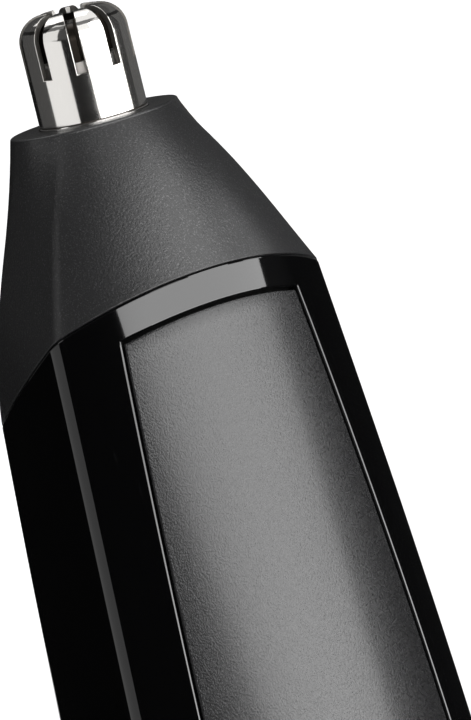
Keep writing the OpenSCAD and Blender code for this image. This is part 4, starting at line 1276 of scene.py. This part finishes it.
def stage_mesh(bm, name, material, ray=None):
    """Turns a bmesh into a new object, which may be left to one kind of ray."""
    thing = new_object(bm, name, [material])
    if ray:
        for kind in ("camera", "diffuse", "glossy", "transmission", "shadow"):
            setattr(thing, f"visible_{kind}", kind == ray)


def light_card(name, facing, corners, radiance, fades=()):
    """Card that faces the aim, twice: a bright one for reflections and a plain one for matt faces."""
    aim = Vector((0, 0, AIM_Z))
    way = bearing(*facing)
    places = [aim + bearing(*corner) * (CARD_AWAY / bearing(*corner).dot(way)) for corner in corners]
    for use, ray, share in (("mirrored", "glossy", 1.0), ("plain", "diffuse", PLAIN_SHARE)):
        bm = bmesh.new()
        card = bm.faces.new([bm.verts.new(place) for place in places])
        card.normal_update()
        if card.normal.dot(way) > 0:
            bmesh.ops.reverse_faces(bm, faces=[card])
        stage_mesh(bm, f"{name}_{use}", card_material(f"{name}_{use}", radiance * share, fades), ray)


def card_material(name, radiance, fades):
    """Glow on a card's front; each fade is an axis, two places and the shares there."""
    material, tree, glow = glowing(name)
    side = tree.nodes.new("ShaderNodeNewGeometry")
    front = math_node(tree, "SUBTRACT", 1.0, side.outputs["Backfacing"])
    strength = math_node(tree, "MULTIPLY", front, radiance)
    for axis, *fade in fades:
        strength = math_node(tree, "MULTIPLY", strength, remapped(tree, object_axis(tree, axis), *fade))
    tree.links.new(strength, glow)
    return material


class TRIMMER_OT_studio(bpy.types.Operator):
    """Pale floor, white surroundings, light cards, a softbox, dark flags and the camera"""
    bl_idname = "trimmer.set_studio"
    bl_label = "Studio"

    def execute(self, context):
        studio = context.scene.trimmer_studio
        self.add_floor()
        self.add_flags()
        self.add_near_cards()
        self.add_world(studio.fill)
        light_card("main_card", MAIN_FACING, MAIN_CARD, studio.main_light, MAIN_FADES)
        light_card("left_card", LEFT_FACING, LEFT_CARD, studio.left_light)
        self.add_softbox(studio.back_light)
        self.add_camera()
        context.scene.view_settings.view_transform = "Standard"
        return {"FINISHED"}

    def add_floor(self):
        """Floor that takes shadows and looks nearly white from afar."""
        bm = bmesh.new()
        bmesh.ops.create_grid(bm, x_segments=1, y_segments=1, size=FLOOR_SIZE)
        material, tree, shader = principled("pale_floor", (0.8, 0.8, 0.8), 0.7)
        glow = tree.nodes.new("ShaderNodeEmission")
        reach = remapped(tree, vector_node(tree, "LENGTH", object_coords(tree)), *FLOOR_GLOW)
        tree.links.new(reach, glow.inputs["Strength"])
        both = tree.nodes.new("ShaderNodeAddShader")
        tree.links.new(shader.outputs["BSDF"], both.inputs[0])
        tree.links.new(glow.outputs["Emission"], both.inputs[1])
        mixed = ray_switch(tree, shader.outputs["BSDF"], both.outputs["Shader"])
        tree.links.new(mixed, tree.nodes["Material Output"].inputs["Surface"])
        stage_mesh(bm, "floor", material)

    def add_flags(self):
        """Dark flags behind the cards, met by reflections alone."""
        bm = bmesh.new()
        bmesh.ops.create_cone(bm, segments=FLAG_SIDES, radius1=FLAG_R, radius2=FLAG_R, depth=FLAG_H)
        bmesh.ops.translate(bm, vec=(0, 0, FLAG_H / 2), verts=bm.verts[:])
        for (first, last), z in ((DARK_TOP, FLAG_H), (DARK_TABLE, TABLE_LIFT)):
            turns = [first + (last - first) * i / SECTOR_STEPS for i in range(SECTOR_STEPS + 1)]
            rim = [bearing(turn, 0) * FLAG_R for turn in turns]
            bm.faces.new([bm.verts.new((p.x, p.y, z)) for p in [Vector((0, 0, 0)), *rim]])
        bm.faces.new([bm.verts.new(corner) for corner in CORNER_FLAG])
        cloth, tree, strength = glowing("flag_cloth")
        glow = remapped(tree, object_axis(tree, "Z"), *FLAG_TOP_GLOW)
        for azimuth, *fade in FLAG_GLOWS:
            toward = vector_node(tree, "DOT_PRODUCT", object_coords(tree), bearing(azimuth, 0))
            glow = math_node(tree, "ADD", glow, remapped(tree, toward, *fade))
        tree.links.new(glow, strength)
        stage_mesh(bm, "dark_flags", cloth, "glossy")

    def add_near_cards(self):
        """Small upright cards, met by reflections alone, each with its own glow."""
        bm = bmesh.new()
        glow = bm.faces.layers.float.new("glow")
        for a, b, low, high, radiance in NEAR_CARDS:
            corners = ((*a, low), (*b, low), (*b, high), (*a, high))
            bm.faces.new([bm.verts.new(corner) for corner in corners])[glow] = radiance
        card, tree, strength = glowing("near_card")
        reader = tree.nodes.new("ShaderNodeAttribute")
        reader.attribute_name = "glow"
        tree.links.new(reader.outputs["Fac"], strength)
        stage_mesh(bm, "near_cards", card, "glossy")

    def add_world(self, fill):
        """Surroundings that light faintly and are seen white."""
        world = bpy.data.worlds.new("white_room")
        bpy.context.scene.world = world
        world.use_nodes = True
        tree = world.node_tree
        tree.nodes.clear()
        shaders = []
        for strength in (fill, 1.0):
            node = tree.nodes.new("ShaderNodeBackground")
            node.inputs["Color"].default_value = WHITE
            node.inputs["Strength"].default_value = strength
            shaders.append(node.outputs["Background"])
        out = tree.nodes.new("ShaderNodeOutputWorld")
        tree.links.new(ray_switch(tree, *shaders), out.inputs["Surface"])

    def add_softbox(self, radiance):
        """Area light at a bearing from the drive axis, facing it."""
        data = bpy.data.lights.new("softbox_back", "AREA")
        data.shape = "RECTANGLE"
        data.size = data.size_y = BACK_SIZE
        data.energy = radiance * pi * BACK_SIZE * BACK_SIZE
        lamp = bpy.data.objects.new("softbox_back", data)
        way = bearing(*BACK_FACING)
        lamp.location = way * BACK_AWAY + Vector((0, 0, BACK_AIM_Z))
        lamp.rotation_euler = way.to_track_quat("Z", "Y").to_euler()
        lamp.visible_camera = False
        bpy.context.scene.collection.objects.link(lamp)

    def add_camera(self):
        """Camera turned so that the middle of the head's top falls on its pixel."""
        data = bpy.data.cameras.new("camera")
        data.sensor_width = SENSOR
        data.lens = FOCAL_PIXELS / max(IMAGE) * SENSOR
        data.clip_start, data.clip_end = CAMERA_CLIP
        right = Vector((cos(CAMERA_YAW), -sin(CAMERA_YAW), 0))
        back = Vector((
            -sin(CAMERA_YAW) * cos(CAMERA_RISE), -cos(CAMERA_YAW) * cos(CAMERA_RISE), sin(CAMERA_RISE)))
        up = back.cross(right)
        across = right * cos(CAMERA_ROLL) - up * sin(CAMERA_ROLL)
        above = right * sin(CAMERA_ROLL) + up * cos(CAMERA_ROLL)
        dx, dy = ((p - s / 2) / FOCAL_PIXELS * CAMERA_AWAY for p, s in zip(HEAD_PIXEL, IMAGE))
        place = Vector((0, 0, HEAD_TOP * MM)) - across * dx + above * dy + back * CAMERA_AWAY
        camera = bpy.data.objects.new("camera", data)
        camera.matrix_world = Matrix.Translation(place) @ Matrix((across, above, back)).transposed().to_4x4()
        bpy.context.scene.collection.objects.link(camera)
        bpy.context.scene.camera = camera


OPERATORS = (
    TRIMMER_OT_head, TRIMMER_OT_housing, TRIMMER_OT_grip_panel, TRIMMER_OT_button, TRIMMER_OT_battery_cap,
    TRIMMER_OT_guard, TRIMMER_OT_cutter, TRIMMER_OT_springs, TRIMMER_OT_inner_parts, TRIMMER_OT_studio,
)


class TRIMMER_PT_sidebar(bpy.types.Panel):
    """Lists the pieces of the trimmer and its settings"""
    bl_idname = "TRIMMER_PT_sidebar"
    bl_label = "Nose Hair Trimmer"
    bl_space_type = "VIEW_3D"
    bl_region_type = "UI"
    bl_category = "Trimmer"

    def draw(self, context):
        for operator in OPERATORS:
            self.layout.operator(operator.bl_idname)
        for group in SETTINGS:
            settings = getattr(context.scene, group)
            box = self.layout.box()
            for name in settings.__annotations__:
                box.prop(settings, name)


SETTINGS = {
    "trimmer_sizes": TrimmerSizes, "trimmer_finish": TrimmerFinish, "trimmer_studio": TrimmerStudio,
}
CLASSES = (*SETTINGS.values(), *OPERATORS, TRIMMER_PT_sidebar)


def register():
    for cls in CLASSES:
        bpy.utils.register_class(cls)
    for name, cls in SETTINGS.items():
        setattr(bpy.types.Scene, name, PointerProperty(type=cls))


def unregister():
    for name in SETTINGS:
        delattr(bpy.types.Scene, name)
    for cls in reversed(CLASSES):
        bpy.utils.unregister_class(cls)


def main():
    register()
    for operator in OPERATORS:
        family, name = operator.bl_idname.split(".")
        getattr(getattr(bpy.ops, family), name)()


if __name__ == "__main__":
    main()
